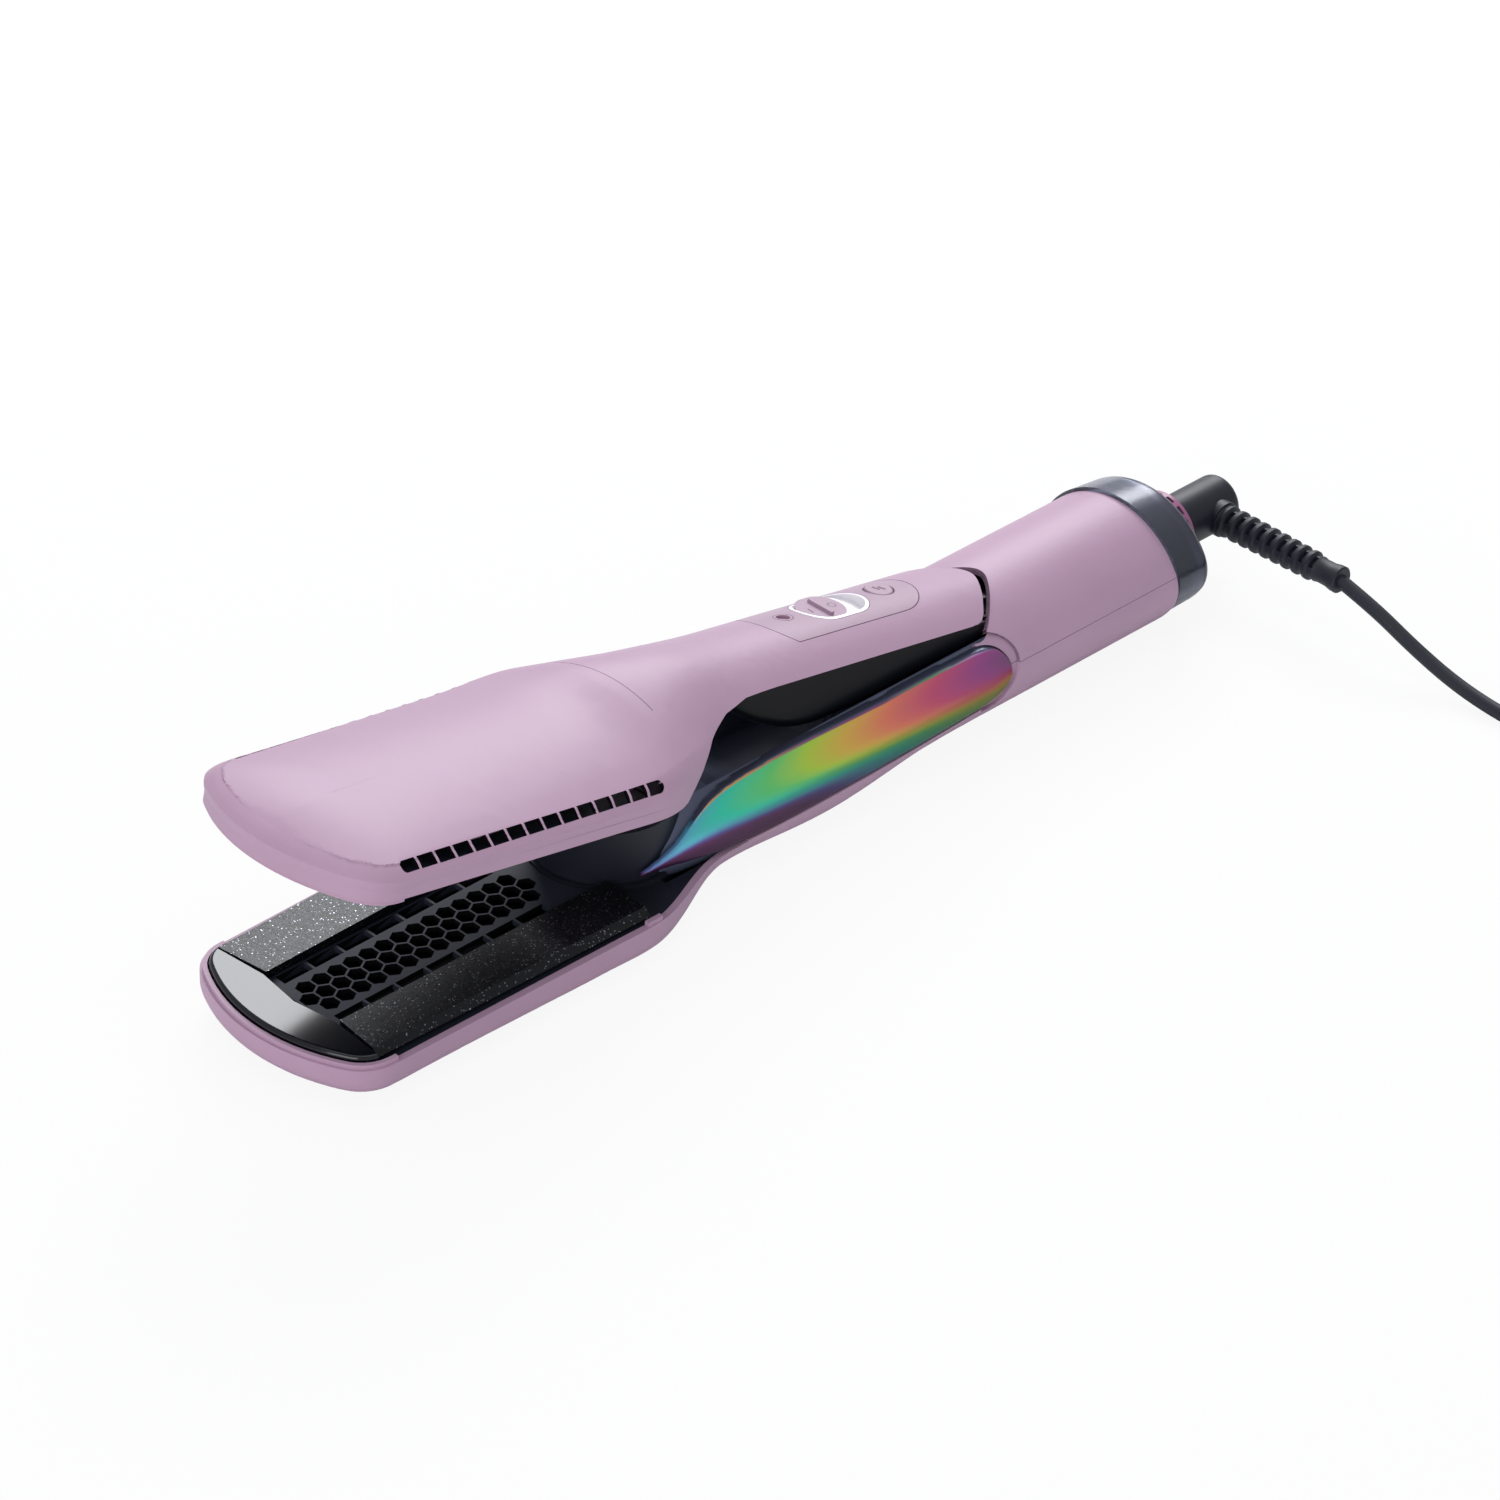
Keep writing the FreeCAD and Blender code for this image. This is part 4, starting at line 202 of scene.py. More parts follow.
def thin_film_panel():
    """Polished plastic under a thin metal film, its colours running along the handle like oil on water."""
    made, tree, shader, place = new_material("thin_film_panel", Metallic=0.45, Roughness=0.3)
    along = add_node(tree, "ShaderNodeSeparateXYZ", {"Vector": place}).outputs["X"]
    rise = add_node(tree, "ShaderNodeAttribute", attribute_name="rise").outputs["Fac"]
    wave = add_node(tree, "ShaderNodeTexNoise", {"Vector": place, "Scale": 1 / (FILM_WAVE * MM),
                    "Detail": 1.0})
    # Towards the panel's lower edge the film is seen more aslant, and its colours come earlier
    early = add_node(tree, "ShaderNodeFloatCurve", {"Value": rise})
    bend = early.mapping.curves[0].points
    bend[0].location, bend[1].location = (0.0, 0.0), (1.0, 0.9)
    for knot in ((0.2, 0.14), (0.45, 0.72), (0.68, 1.0)):
        bend.new(*knot)
    early.mapping.update()
    shift = add_node(tree, "ShaderNodeMath", {0: early.outputs["Value"], 1: FILM_EARLY * MM, 2: along},
                     operation="MULTIPLY_ADD")
    sway = add_node(tree, "ShaderNodeMath", {0: wave.outputs["Fac"], 1: FILM_SWAY * MM,
                    2: shift.outputs["Value"]}, operation="MULTIPLY_ADD")
    order = add_node(tree, "ShaderNodeMapRange", {"Value": sway.outputs["Value"],
                     "From Min": (FILM_FROM - AHEAD) * MM, "From Max": (FILM_TO - AHEAD) * MM})
    film = add_node(tree, "ShaderNodeValToRGB", {"Fac": order.outputs["Result"]})
    stops(film, [(0.0, linear("#8A4A86")), (0.08, linear("#7C6CC0")), (0.16, linear("#66BBD6")),
                 (0.26, linear("#3FDDB9")), (0.37, linear("#6CDA7C")), (0.46, linear("#BADC4E")),
                 (0.56, linear("#E5BA55")), (0.66, linear("#EE8668")), (0.78, linear("#D05A7C")),
                 (0.9, linear("#A3528F")), (1.0, linear("#735579"))])
    # Painted shade: the film darkens towards the panel's lower edge, which turns down away from the light
    shade = add_node(tree, "ShaderNodeValToRGB", {"Fac": rise})
    stops(shade, [(height, (dim, dim, dim, 1)) for height, dim in (
        (0.0, 0.22), (0.12, 0.25), (0.26, 0.33), (0.42, 0.5), (0.58, 0.95), (0.66, 1.0))])
    body = add_node(tree, "ShaderNodeMix", {"Factor": 1.0, "A": film.outputs["Color"],
                    "B": shade.outputs["Color"]}, data_type="RGBA", blend_type="MULTIPLY")
    # The raised upper edge: a dark flank, and a thin line that runs from gold through pink to green
    line_place = add_node(tree, "ShaderNodeMapRange", {"Value": along,
                          "From Min": (LINE_FROM - AHEAD) * MM, "From Max": (LINE_TO - AHEAD) * MM})
    line = add_node(tree, "ShaderNodeValToRGB", {"Fac": line_place.outputs["Result"]})
    stops(line, [(0.0, linear("#E8C070")), (0.3, linear("#D9A06A")), (0.45, linear("#8E5A80")),
                 (0.65, linear("#8A4C7C")), (0.8, linear("#5E9A6A")), (0.93, linear("#C88ACB")),
                 (1.0, linear("#3A2434"))])
    inset = add_node(tree, "ShaderNodeAttribute", attribute_name="inset").outputs["Fac"]
    is_line = add_node(tree, "ShaderNodeMapRange", {"Value": inset, "From Min": LINE_WIDE * MM,
                       "From Max": (LINE_WIDE + LINE_FADE) * MM, "To Min": 1.0, "To Max": 0.0})
    flank = add_node(tree, "ShaderNodeMix", {"Factor": is_line.outputs["Result"],
                     "A": linear("#50556A"), "B": line.outputs["Color"]}, data_type="RGBA")
    is_edge = add_node(tree, "ShaderNodeMapRange", {"Value": rise, "From Min": 0.95, "From Max": 0.965})
    both = add_node(tree, "ShaderNodeMix", {"Factor": is_edge.outputs["Result"],
                    "A": body.outputs["Result"], "B": flank.outputs["Result"]}, data_type="RGBA")
    tree.links.new(both.outputs["Result"], shader.inputs["Base Color"])
    return made


def smoky_plastic():
    """Smoke-tinted clear polycarbonate of the rear cap: polished, see-through, blue-grey."""
    made, tree, shader, place = new_material("smoky_polycarbonate", Roughness=0.22, IOR=1.5,
                                             Transmission_Weight=0.9, Specular_IOR_Level=0.08)
    height = add_node(tree, "ShaderNodeSeparateXYZ", {"Vector": place}).outputs["Z"]
    # Painted highlights and shade: by height the tint is lighter low down and near the top, and darkest at
    # mid-height
    level = add_node(tree, "ShaderNodeMapRange", {"Value": height, "From Max": CAP_TOP * MM})
    tint = add_node(tree, "ShaderNodeValToRGB", {"Fac": level.outputs["Result"]})
    stops(tint, [(0.0, linear("#A9AFC0")), (0.35, linear("#A0A6B8")), (0.5, linear("#6F7487")),
                 (0.8, linear("#7B8093")), (1.0, linear("#8C91A4"))])
    tree.links.new(tint.outputs["Color"], shader.inputs["Base Color"])
    return made


FINISHES = {
    # Satin lacquer over moulded ABS: even and soft, with a broad highlight
    "pink_satin": moulded("satin_lacquered_abs", "#BC9AB2", 0.44, grain=0.5, relief=0.01,
                          Specular_IOR_Level=0.33),
    # The same lacquer, polished, so that small parts catch a sharp glint
    "pink_gloss": moulded("glossy_lacquered_abs", "#BD9DB2", 0.2, grain=0.5, relief=0.003),
    # The control plate: the same lacquer, a shade greyer
    "plate_satin": moulded("control_plate_lacquer", "#B79BAE", 0.4, grain=0.5, relief=0.004,
                           Specular_IOR_Level=0.25),
    # Painted shade in fine grooves and the parting line, a darker pink seen as a thin dark line; also the
    # colour of the printed marks
    "groove_shade_and_print": moulded("groove_shade_and_print_lacquer", "#6E4F63", 0.5),
    # The intake ring behind the smoky cap: a deeper pink
    "intake_pink": moulded("intake_ring_abs", "#A8678F", 0.4),
    # Fine-textured nylon, blue-black, and the smoother, greyer inner body
    "slate": moulded("slate_nylon", "#1B1E29", 0.45, grain=0.3, relief=0.02, Specular_IOR_Level=0.4),
    "slate_satin": moulded("satin_slate", "#5A6076", 0.45, grain=0.5, relief=0.005, Specular_IOR_Level=0.4),
    "grill_slate": moulded("grill_resin", "#2D303D", 0.6, grain=0.4, relief=0.01, Specular_IOR_Level=0.25),
    # Deep black mouldings, low in reflection except the polished nose pieces
    "black_gloss": moulded("black_polycarbonate", "#08090E", 0.2, grain=0.6, relief=0.002,
                           Specular_IOR_Level=0.22),
    "shell_black": moulded("satin_black_polycarbonate", "#08090E", 0.3, grain=0.6, relief=0.002,
                           Specular_IOR_Level=0.1),
    "polished_black": moulded("polished_black_polycarbonate", "#0A0B12", 0.13, grain=0.6, relief=0.001),
    # Painted shade: a near-black finish for insides and recesses, giving back almost no light
    "painted_shade_inside": moulded("painted_shade_inside_finish", "#0A0A0E", 0.7, Specular_IOR_Level=0.1),
    "iridescent": thin_film_panel(),
    "ceramic": glitter_ceramic(),
    # Heater parts: warm grey mica, dull foil and dark glass-filled resin
    "mica": moulded("mica_sheet", "#B9A88C", 0.5),
    "heater_foil": moulded("heater_foil", "#8C8C90", 0.35, Metallic=0.9),
    "dark_resin": moulded("glass_filled_resin", "#2B2D33", 0.5),
    "silicone": moulded("silicone", "#6E7076", 0.55),
    # Metals: zinc-grey steel, nickelled pins, bright spring wire
    "motor_steel": moulded("galvanised_steel", "#A6A8AC", 0.35, Metallic=1.0),
    "brass_pin": moulded("nickel_plated_brass", "#C9C2AE", 0.25, Metallic=1.0),
    "spring_steel": moulded("spring_steel", "#9C9EA3", 0.3, Metallic=1.0),
    # The slider's surround: near-white with a metallic sheen
    "bright": moulded("bright_satin_chrome", "#F7F5F8", 0.35, relief=0.002, mottle=0.01, Metallic=0.2),
    "white_resin": moulded("white_resin", "#DAD8D2", 0.4),
    "board": moulded("board_laminate", "#27573B", 0.4),
    "smoky": smoky_plastic(),
    # Matt rubber of the cord and its strain relief
    "cord_rubber": moulded("cord_rubber", "#20232D", 0.5, grain=0.3, relief=0.02, Specular_IOR_Level=0.4),
}


# Pieces

FINISH_OF = {part["node"]: part["material_slot"] for part in frame["record"]["subparts"]}
BODY_OF = {node: body for body, nodes in frame["record"]["behaviour"]["bodies"].items() for node in nodes}
# Nodes with round or polished faces in plain sight
ROUNDED = [
    "lower_casing", "barrel_upper_casing", "arm_casing", "arm_inner_shell", "inner_body", "lower_nose_cap",
    "upper_nose_cap", "rear_cap", "cap_core", "intake_ring", "swivel_bush", "cord_elbow", "duct_tower",
    "tower_gasket", "control_inlay", "slider_bezel", "power_slider", "mode_button", "indicator_ring", "plug",
    "plug_pins", "hinge_pin", "impeller", "motor_can", "motor_shaft", "motor_cradle",
]
# Nodes whose look differs from the rest of their slot
OWN_FINISH = {
    "lower_nose_cap": "polished_black", "upper_nose_cap": "polished_black", "lower_grill": "grill_slate",
    "upper_grill": "grill_slate", "inner_body": "slate_satin", "control_inlay": "plate_satin",
    "intake_ring": "intake_pink", "indicator_ring": "plate_satin", "power_slider": "plate_satin",
    "mode_button": "plate_satin", "arm_inner_shell": "shell_black",
}
# The panels in the handle's sides are meshed anew and softened: the mesh's width, in mm, and how often
PANELS = ("near_grip_panel", "far_grip_panel")
PANEL_MESH = 0.42
PANEL_ROUNDS = 16
CORD_NODES = ("cord_run", "cord_coil", "cord_tail")
# Vertices nearer than this, in mm, are one
WELD = 0.003
# A cut leaves the points that already lie on its plane, to this distance in mm
CUT_EXACT = 0.0005


def place_in_scene(name, mesh, body, finish):
    """A piece with its finish, riding on its body."""
    piece = bpy.data.objects.new(name, mesh)
    bpy.context.scene.collection.objects.link(piece)
    mesh.materials.clear()
    mesh.materials.append(FINISHES[finish])
    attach(piece, body)
    return piece


def shade_smooth(builder, sharp):
    """Smooth faces, with crisp edges where they meet at a sharper angle, in degrees."""
    for face in builder.faces:
        face.smooth = True
    for edge in builder.edges:
        edge.smooth = len(edge.link_faces) == 2 and edge.calc_face_angle(0.0) < math.radians(sharp)


def cut_across(builder, place, way):
    """Adds edges where a plane through a place meets the surface, and takes nothing away."""
    bmesh.ops.bisect_plane(builder, geom=builder.verts[:] + builder.edges[:] + builder.faces[:],
                           plane_co=place, plane_no=way, dist=CUT_EXACT * MM)


def smooth_copy(node, body, finish, sharp=32.0):
    """A welded copy of a node with smooth round faces and crisp corners, which stands for it."""
    mesh = frame["nodes"][node].data.copy()
    welded = bmesh.new()
    welded.from_mesh(mesh)
    bmesh.ops.remove_doubles(welded, verts=welded.verts, dist=WELD * MM)
    shade_smooth(welded, sharp)
    welded.to_mesh(mesh)
    welded.free()
    piece = place_in_scene(node + "_shown", mesh, body, finish)
    evening = piece.modifiers.new("even_normals", "WEIGHTED_NORMAL")
    evening.keep_sharp = True
    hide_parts(node)
    return piece


def new_piece(name, builder, body, finish, sharp=40.0):
    """A modelled piece, smooth where it is round."""
    bmesh.ops.recalc_face_normals(builder, faces=builder.faces)
    shade_smooth(builder, sharp)
    mesh = bpy.data.meshes.new(name)
    builder.to_mesh(mesh)
    builder.free()
    return place_in_scene(name, mesh, body, finish)


# Just off a face, in mm, so that a ray from it doesn't strike the face itself
OFF_FACE = 0.05


def paint_shade_inside(piece, others, in_sight, reach=60.0, floor=None):
    """Paints shade: gives the faces that look inwards at the parts round them a dark finish, except those in
    plain sight.

    Others are the parts round it, besides the piece itself. Reach is how far a face looks, in mm. Upward
    faces below the floor height, in mm, are dark as well.
    """
    mesh = piece.data
    mesh.materials.append(FINISHES["painted_shade_inside"])
    points, polygons = [], []
    for other in [piece] + others:
        polygons += [tuple(len(points) + v for v in face.vertices) for face in other.data.polygons]
        points += [v.co for v in other.data.vertices]
    tree = BVHTree.FromPolygons(points, polygons)
    for face in mesh.polygons:
        if floor is not None and face.center.z < floor * MM and face.normal.z > 0.3:
            face.material_index = 1
        if in_sight(face):
            continue
        start = face.center + face.normal * OFF_FACE * MM
        struck = tree.ray_cast(start, face.normal, reach * MM)
        if struck[0] is not None:
            face.material_index = 1


def remeshed(node, body, finish, voxel, rounds):
    """An evenly meshed, softened copy of a node, for one whose surface is a single polished sweep."""
    mesh = frame["nodes"][node].data.copy()
    piece = place_in_scene(node + "_shown", mesh, body, finish)
    grid = piece.modifiers.new("even_mesh", "REMESH")
    grid.mode = "VOXEL"
    grid.voxel_size = voxel * MM
    soften = piece.modifiers.new("soften", "SMOOTH")
    soften.factor = 0.5
    soften.iterations = rounds
    shaped = bpy.data.meshes.new_from_object(piece.evaluated_get(bpy.context.evaluated_depsgraph_get()))
    piece.modifiers.clear()
    piece.data = shaped
    for face in shaped.polygons:
        face.use_smooth = True
    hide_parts(node)
    return piece


# A panel is read in slices of this length; its flank is looked for this near its top, and a slice
# counts as no lower than this; all in mm
SLICE = 2.0
FLANK_HIGH = 1.2
SLICE_LEAST = 0.5


def mark_rise(piece):
    """Stores how high each point lies between the piece's edges, and how far in from its outer flank."""
    mesh = piece.data
    slices = {}
    for v in mesh.vertices:
        slices.setdefault(round(v.co.x / (SLICE * MM)), []).append((v.co.z, abs(v.co.y)))
    spans = {}
    for key, places in slices.items():
        heights = [z for z, side in places]
        top = max(heights)
        flank = max(side for z, side in places if z > top - FLANK_HIGH * MM)
        spans[key] = (min(heights), top, flank)
    rise = mesh.attributes.new("rise", "FLOAT", "POINT")
    inset = mesh.attributes.new("inset", "FLOAT", "POINT")
    for v, height, depth in zip(mesh.vertices, rise.data, inset.data):
        place = v.co.x / (SLICE * MM)
        left = math.floor(place)
        share = place - left
        ends = [spans.get(left + k, spans[round(place)]) for k in (0, 1)]
        low, high, flank = (ends[0][k] * (1 - share) + ends[1][k] * share for k in (0, 1, 2))
        height.value = (v.co.z - low) / max(high - low, SLICE_LEAST * MM)
        depth.value = flank - abs(v.co.y)


# How far a grill's cell walls are thinned on each side, and how near its edge they are left, in mm
CELLS_WIDEN = 0.17
GRILL_EDGE = 0.3


def widen_cells(piece):
    """Thins the walls between a grill's cells, leaving its outer edge."""
    mesh = piece.data
    builder = bmesh.new()
    builder.from_mesh(mesh)
    side = max(abs(v.co.y) for v in builder.verts) - GRILL_EDGE * MM
    front = min(v.co.x for v in builder.verts) + GRILL_EDGE * MM
    rear = max(v.co.x for v in builder.verts) - GRILL_EDGE * MM
    moves = {}
    for v in builder.verts:
        if abs(v.co.y) > side or not front < v.co.x < rear:
            continue
        # One way for each of the upright walls that meet in the point
        walls = []
        for face in v.link_faces:
            if abs(face.normal.z) < 0.3 and all(face.normal.dot(other) < 0.98 for other in walls):
                walls.append(face.normal.copy())
        if not walls:
            continue
        middle = sum(walls, Vector()).normalized()
        lean = max(middle.dot(walls[0]), 0.5)
        moves[v] = -middle * CELLS_WIDEN * MM / lean
    for v, move in moves.items():
        v.co += move
    builder.to_mesh(mesh)
    builder.free()


# The upper head's brim: heights of the closed arm, and how far its side wall stands out there, in mm
BRIM = ((18.7, 0.0), (21.1, 0.95), (22.5, 0.2), (23.6, -0.4), (24.9, 0.0))
# Where the brim ends along the arm and over what length it fades out; outwards is away from the middle
# line and, before the nose's middle, away from that; nearer than the least distance nothing moves
BRIM_END = 118.0
BRIM_FADE = 40.0
NOSE_MIDDLE = 36.0
HEAD_HALF_LEAST = 26.0


def brim_step(height):
    """How far the side wall stands out at a height."""
    for (low, one), (high, two) in zip(BRIM, BRIM[1:]):
        if low <= height <= high:
            return one + (two - one) * (height - low) / (high - low)
    return 0.0


def round_brim(piece):
    """Draws the head's side wall out into a soft brim, with a valley between it and the domed top."""
    builder = bmesh.new()
    builder.from_mesh(piece.data)
    levels = [height for height, step in BRIM]
    for level in levels:
        cut_across(builder, on_arm(0, 0, level), ARM_UP)
    builder.normal_update()
    for v in builder.verts:
        place = closed_place(v.co)
        away = Vector((min(place.x - NOSE_MIDDLE, 0), place.y, 0))
        if place.x > BRIM_END or away.length < HEAD_HALF_LEAST:
            continue
        outward = (ARM_OPEN @ away).normalized()
        # Only the outer skin looks away from the arm's middle
        if any(face.normal.dot(outward) > 0.35 for face in v.link_faces):
            v.co += outward * brim_step(place.z) * min(1.0, (BRIM_END - place.x) / BRIM_FADE) * MM
    builder.to_mesh(piece.data)
    builder.free()


# The groove round the control plate, in mm
GROOVE_WIDE = 0.22
GROOVE_DEEP = 0.12


def outline_top(piece):
    """Sinks a narrow groove round a plate's upper face and the openings in it, with painted shade in it."""
    mesh = piece.data
    mesh.materials.append(FINISHES["groove_shade_and_print"])
    builder = bmesh.new()
    builder.from_mesh(mesh)
    top = [face for face in builder.faces if face.normal.dot(ARM_UP) > 0.55]
    ring = bmesh.ops.inset_region(builder, faces=top, thickness=GROOVE_WIDE * MM, depth=0,
                                  use_boundary=True, use_even_offset=True)["faces"]
    for face in ring:
        face.material_index = 1
    for v in {v for face in ring for v in face.verts}:
        if all(near in ring for near in v.link_faces if near.normal.dot(ARM_UP) > 0.55):
            v.co -= ARM_UP * GROOVE_DEEP * MM
    builder.to_mesh(mesh)
    builder.free()


# The strain relief: its middle line, where it starts, its length and its ribs, in mm
RELIEF_X = 356.7
RELIEF_FROM = -8.5
RELIEF_LONG = 43.0
RELIEF_RIBS = 9
RIBS_START = 0.5
RIB_PITCH = 3.85
RIB_R = 4.75
RIB_TAPER = 0.55
RELIEF_SIDES = 48
# A rib's outline: how far on and how far below its crest
RIB_OUTLINE = ((0.0, 0.15), (0.35, 0.0), (1.3, 0.0), (1.75, 0.55), (2.0, 1.0), (3.3, 1.0), (3.55, 0.55))
# The end collar's outline: how far along and how wide
COLLAR = ((36.0, 3.5), (39.0, 3.55), (41.0, 3.95), (42.6, 4.0), (RELIEF_LONG, 3.6), (RELIEF_LONG, 0.0))
# The slots lie in the low part between two ribs; they face up and forwards, and down and back
SLOT_FROM, SLOT_TO = 2.0, 3.3
SLOTS_END = 35.0
SLOT_WAY = Vector((-0.55, 0, 0.835))
SLOT_SPREAD = 0.82
SLOT_EDGE = 0.05
SLOT_DEEP = 1.2


def rib_radius(s):
    """Outer radius of the ribs at a distance along the strain relief."""
    return RIB_R - RIB_TAPER * s / RELIEF_LONG


def strain_relief():
    """The ribbed sleeve at the cord's exit: scalloped ribs, slots between them and a smooth end collar."""
    profile = [(0.0, 0.0), (0.0, rib_radius(0))]
    for i in range(RELIEF_RIBS):
        start = RIBS_START + i * RIB_PITCH
        profile += [(start + on, rib_radius(start) - below) for on, below in RIB_OUTLINE]
    profile += COLLAR
    builder = bmesh.new()
    points = [builder.verts.new(at(RELIEF_X + r, RELIEF_FROM - s, AXIS_Z)) for s, r in profile]
    for one, two in zip(points, points[1:]):
        builder.edges.new((one, two))
    bmesh.ops.spin(builder, geom=builder.verts[:] + builder.edges[:], cent=at(RELIEF_X, 0, AXIS_Z),
                   axis=(0, 1, 0), angle=math.tau, steps=RELIEF_SIDES, use_merge=True)
    bmesh.ops.remove_doubles(builder, verts=builder.verts, dist=0.001 * MM)
    bmesh.ops.recalc_face_normals(builder, faces=builder.faces)
    slots = []
    for face in builder.faces:
        centre = face.calc_center_median() / MM
        s = RELIEF_FROM - centre.y
        spot = (s - RIBS_START) % RIB_PITCH
        outward = Vector((centre.x + AHEAD - RELIEF_X, 0, centre.z - AXIS_Z))
        in_gap = SLOT_FROM < spot < SLOT_TO and s < SLOTS_END
        if in_gap and abs(outward.dot(SLOT_WAY)) > SLOT_SPREAD * outward.length:
            slots.append(face)
    bmesh.ops.inset_region(builder, faces=slots, thickness=SLOT_EDGE * MM, depth=-SLOT_DEEP * MM,
                           use_even_offset=True)
    # The slots' insides take the painted shade of the dark insides
    for face in slots:
        face.material_index = 1
    piece = new_piece("strain_relief_shown", builder, "cord", "cord_rubber")
    piece.data.materials.append(FINISHES["painted_shade_inside"])
    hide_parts("strain_relief")
    return piece


# The smoky cap: its underside's height, and the length behind its front over which its swelling fades,
# in mm; how much it swells throughout, and how much more at its front to the sides and upwards
CAP_BASE = 0.57
CAP_FADE = 14.0
CAP_SWELL = 0.015
CAP_SIDES_SWELL = 0.035
CAP_TOP_SWELL = 0.04


def swell_cap(piece):
    """Spreads the smoky cap a little past the barrel's end, upwards and to both sides."""
    base = CAP_BASE * MM
    front = min(v.co.x for v in piece.data.vertices)
    for v in piece.data.vertices:
        share = max(0.0, 1 - (v.co.x - front) / (CAP_FADE * MM))
        v.co.y *= 1 + CAP_SWELL + CAP_SIDES_SWELL * share
        v.co.z = base + (v.co.z - base) * (1 + CAP_SWELL + CAP_TOP_SWELL * share)


# The parting line round the arm: its place on the closed arm, its width, and the side where it ends
BAND_X = 119.5
BAND_WIDE = 0.3
BAND_END_Y = -15.0


def band_round_arm(piece):
    """Marks a fine parting line round the arm's casing, square to the closed arm, as a band of painted
    shade.
    """
    mesh = piece.data
    mesh.materials.append(FINISHES["groove_shade_and_print"])
    index = len(mesh.materials) - 1
    builder = bmesh.new()
    builder.from_mesh(mesh)
    for x in (BAND_X, BAND_X + BAND_WIDE):
        cut_across(builder, on_arm(x, 0, 0), ARM_ALONG)
    for face in builder.faces:
        middle = face.calc_center_median()
        depth = (middle - on_arm(BAND_X, 0, 0)).dot(ARM_ALONG)
        in_band = 0 < depth < BAND_WIDE * MM and middle.y > BAND_END_Y * MM
        if in_band and face.material_index == 0:
            face.material_index = index
    builder.to_mesh(mesh)
    builder.free()


def towards_axis(face):
    """Whether a face of the handle looks towards its middle line."""
    out = Vector((0, face.center.y, face.center.z - AXIS_Z * MM))
    return out.dot(face.normal) < -0.5 * out.length


# The barrel's front lip: how far back its edge may lie in the model, how far the lip reaches inwards
# and forwards, how far it stays below the casing's skin and how thick it is, in mm
LIP_BEFORE = 110.0
LIP_INWARD = 1.7
LIP_AHEAD = 0.45
LIP_BELOW = 0.08
LIP_THICK = 0.15


def from_axis(place):
    """The way from the barrel's middle line to a place."""
    return Vector((0, place.y, place.z - AXIS_Z * MM)).normalized()


def front_lip(casing):
    """The front lip of the barrel's casing, behind the arm's rear end."""
    builder = bmesh.new()
    builder.from_mesh(casing.data)
    rim = []
    for edge in builder.edges:
        if len(edge.link_faces) != 2:
            continue
        ahead = [face for face in edge.link_faces if face.normal.x < -0.5]
        place = edge.verts[0].co
        outer = [face for face in edge.link_faces if face.normal.dot(from_axis(place)) > 0.6]
        if len(ahead) == 1 and len(outer) == 1 and ahead[0] != outer[0] and place.x < LIP_BEFORE * MM:
            rim.append(edge)
    keep = set(rim)
    bmesh.ops.delete(builder, geom=builder.faces[:], context="FACES_ONLY")
    bmesh.ops.delete(builder, geom=[edge for edge in builder.edges if edge not in keep], context="EDGES")
    bmesh.ops.delete(builder, geom=[v for v in builder.verts if not v.link_edges], context="VERTS")
    first = list(builder.verts)
    made = bmesh.ops.extrude_edge_only(builder, edges=builder.edges[:])["geom"]
    for v in [item for item in made if isinstance(item, bmesh.types.BMVert)]:
        v.co -= from_axis(v.co) * LIP_INWARD * MM + Vector((LIP_AHEAD, 0, 0)) * MM
    for v in first:
        v.co -= from_axis(v.co) * LIP_BELOW * MM
    bmesh.ops.solidify(builder, geom=builder.faces[:], thickness=LIP_THICK * MM)
    new_piece("barrel_front_lip", builder, BODY_OF["barrel_upper_casing"], "pink_satin")


def on_surface(piece, x, y):
    """The place on a piece's top, straight above a point of the closed arm's drawing."""
    tree = BVHTree.FromPolygons([v.co for v in piece.data.vertices],
                                [tuple(face.vertices) for face in piece.data.polygons])
    return tree.ray_cast(on_arm(x, y, ABOVE_ARM), -ARM_UP)[0]


# The middles of the slider and the button on the closed arm, and a height well above it, in mm
SLIDER_MIDDLE = Vector((202.9, 5.0))
BUTTON_MIDDLE = Vector((225.5, 5.0))
ABOVE_ARM = 90.0
# Bars: their node, place from its middle, length and width in mm, and turn in degrees
MARK_HIGH = 0.12
BAR_MARKS = {
    "slider_bar_mark": ("power_slider", SLIDER_MIDDLE + Vector((-4.0, 0)), (0.3, 2.2), 0),
    "button_mark_front": ("mode_button", BUTTON_MIDDLE + Vector((-0.8, 0.3)), (0.75, 2.3), 25),
    "button_mark_rear": ("mode_button", BUTTON_MIDDLE + Vector((0.8, -0.3)), (0.75, 2.3), 25),
}
RING_MIDDLE = SLIDER_MIDDLE + Vector((4.2, 0))
RING_R = 1.25
RING_INNER_SHARE = 0.8
RING_HIGH = 0.1


def printed_marks(shown):
    """Small raised marks: a bar and a ring on the slider, two slanted bars on the button."""
    for name, (node, middle, size, turn) in BAR_MARKS.items():
        builder = bmesh.new()
        bmesh.ops.create_cube(builder, size=MM)
        bmesh.ops.scale(builder, verts=builder.verts, vec=(*size, MARK_HIGH))
        set_mark(name, builder, shown, node, middle, turn)
    builder = bmesh.new()
    ring = bmesh.ops.create_circle(builder, segments=32, radius=RING_R * MM)["verts"]
    bmesh.ops.extrude_edge_only(builder, edges=builder.edges[:])
    for v in ring:
        v.co *= RING_INNER_SHARE
    bmesh.ops.solidify(builder, geom=builder.faces[:], thickness=RING_HIGH * MM)
    set_mark("slider_ring_mark", builder, shown, "power_slider", RING_MIDDLE, 0)


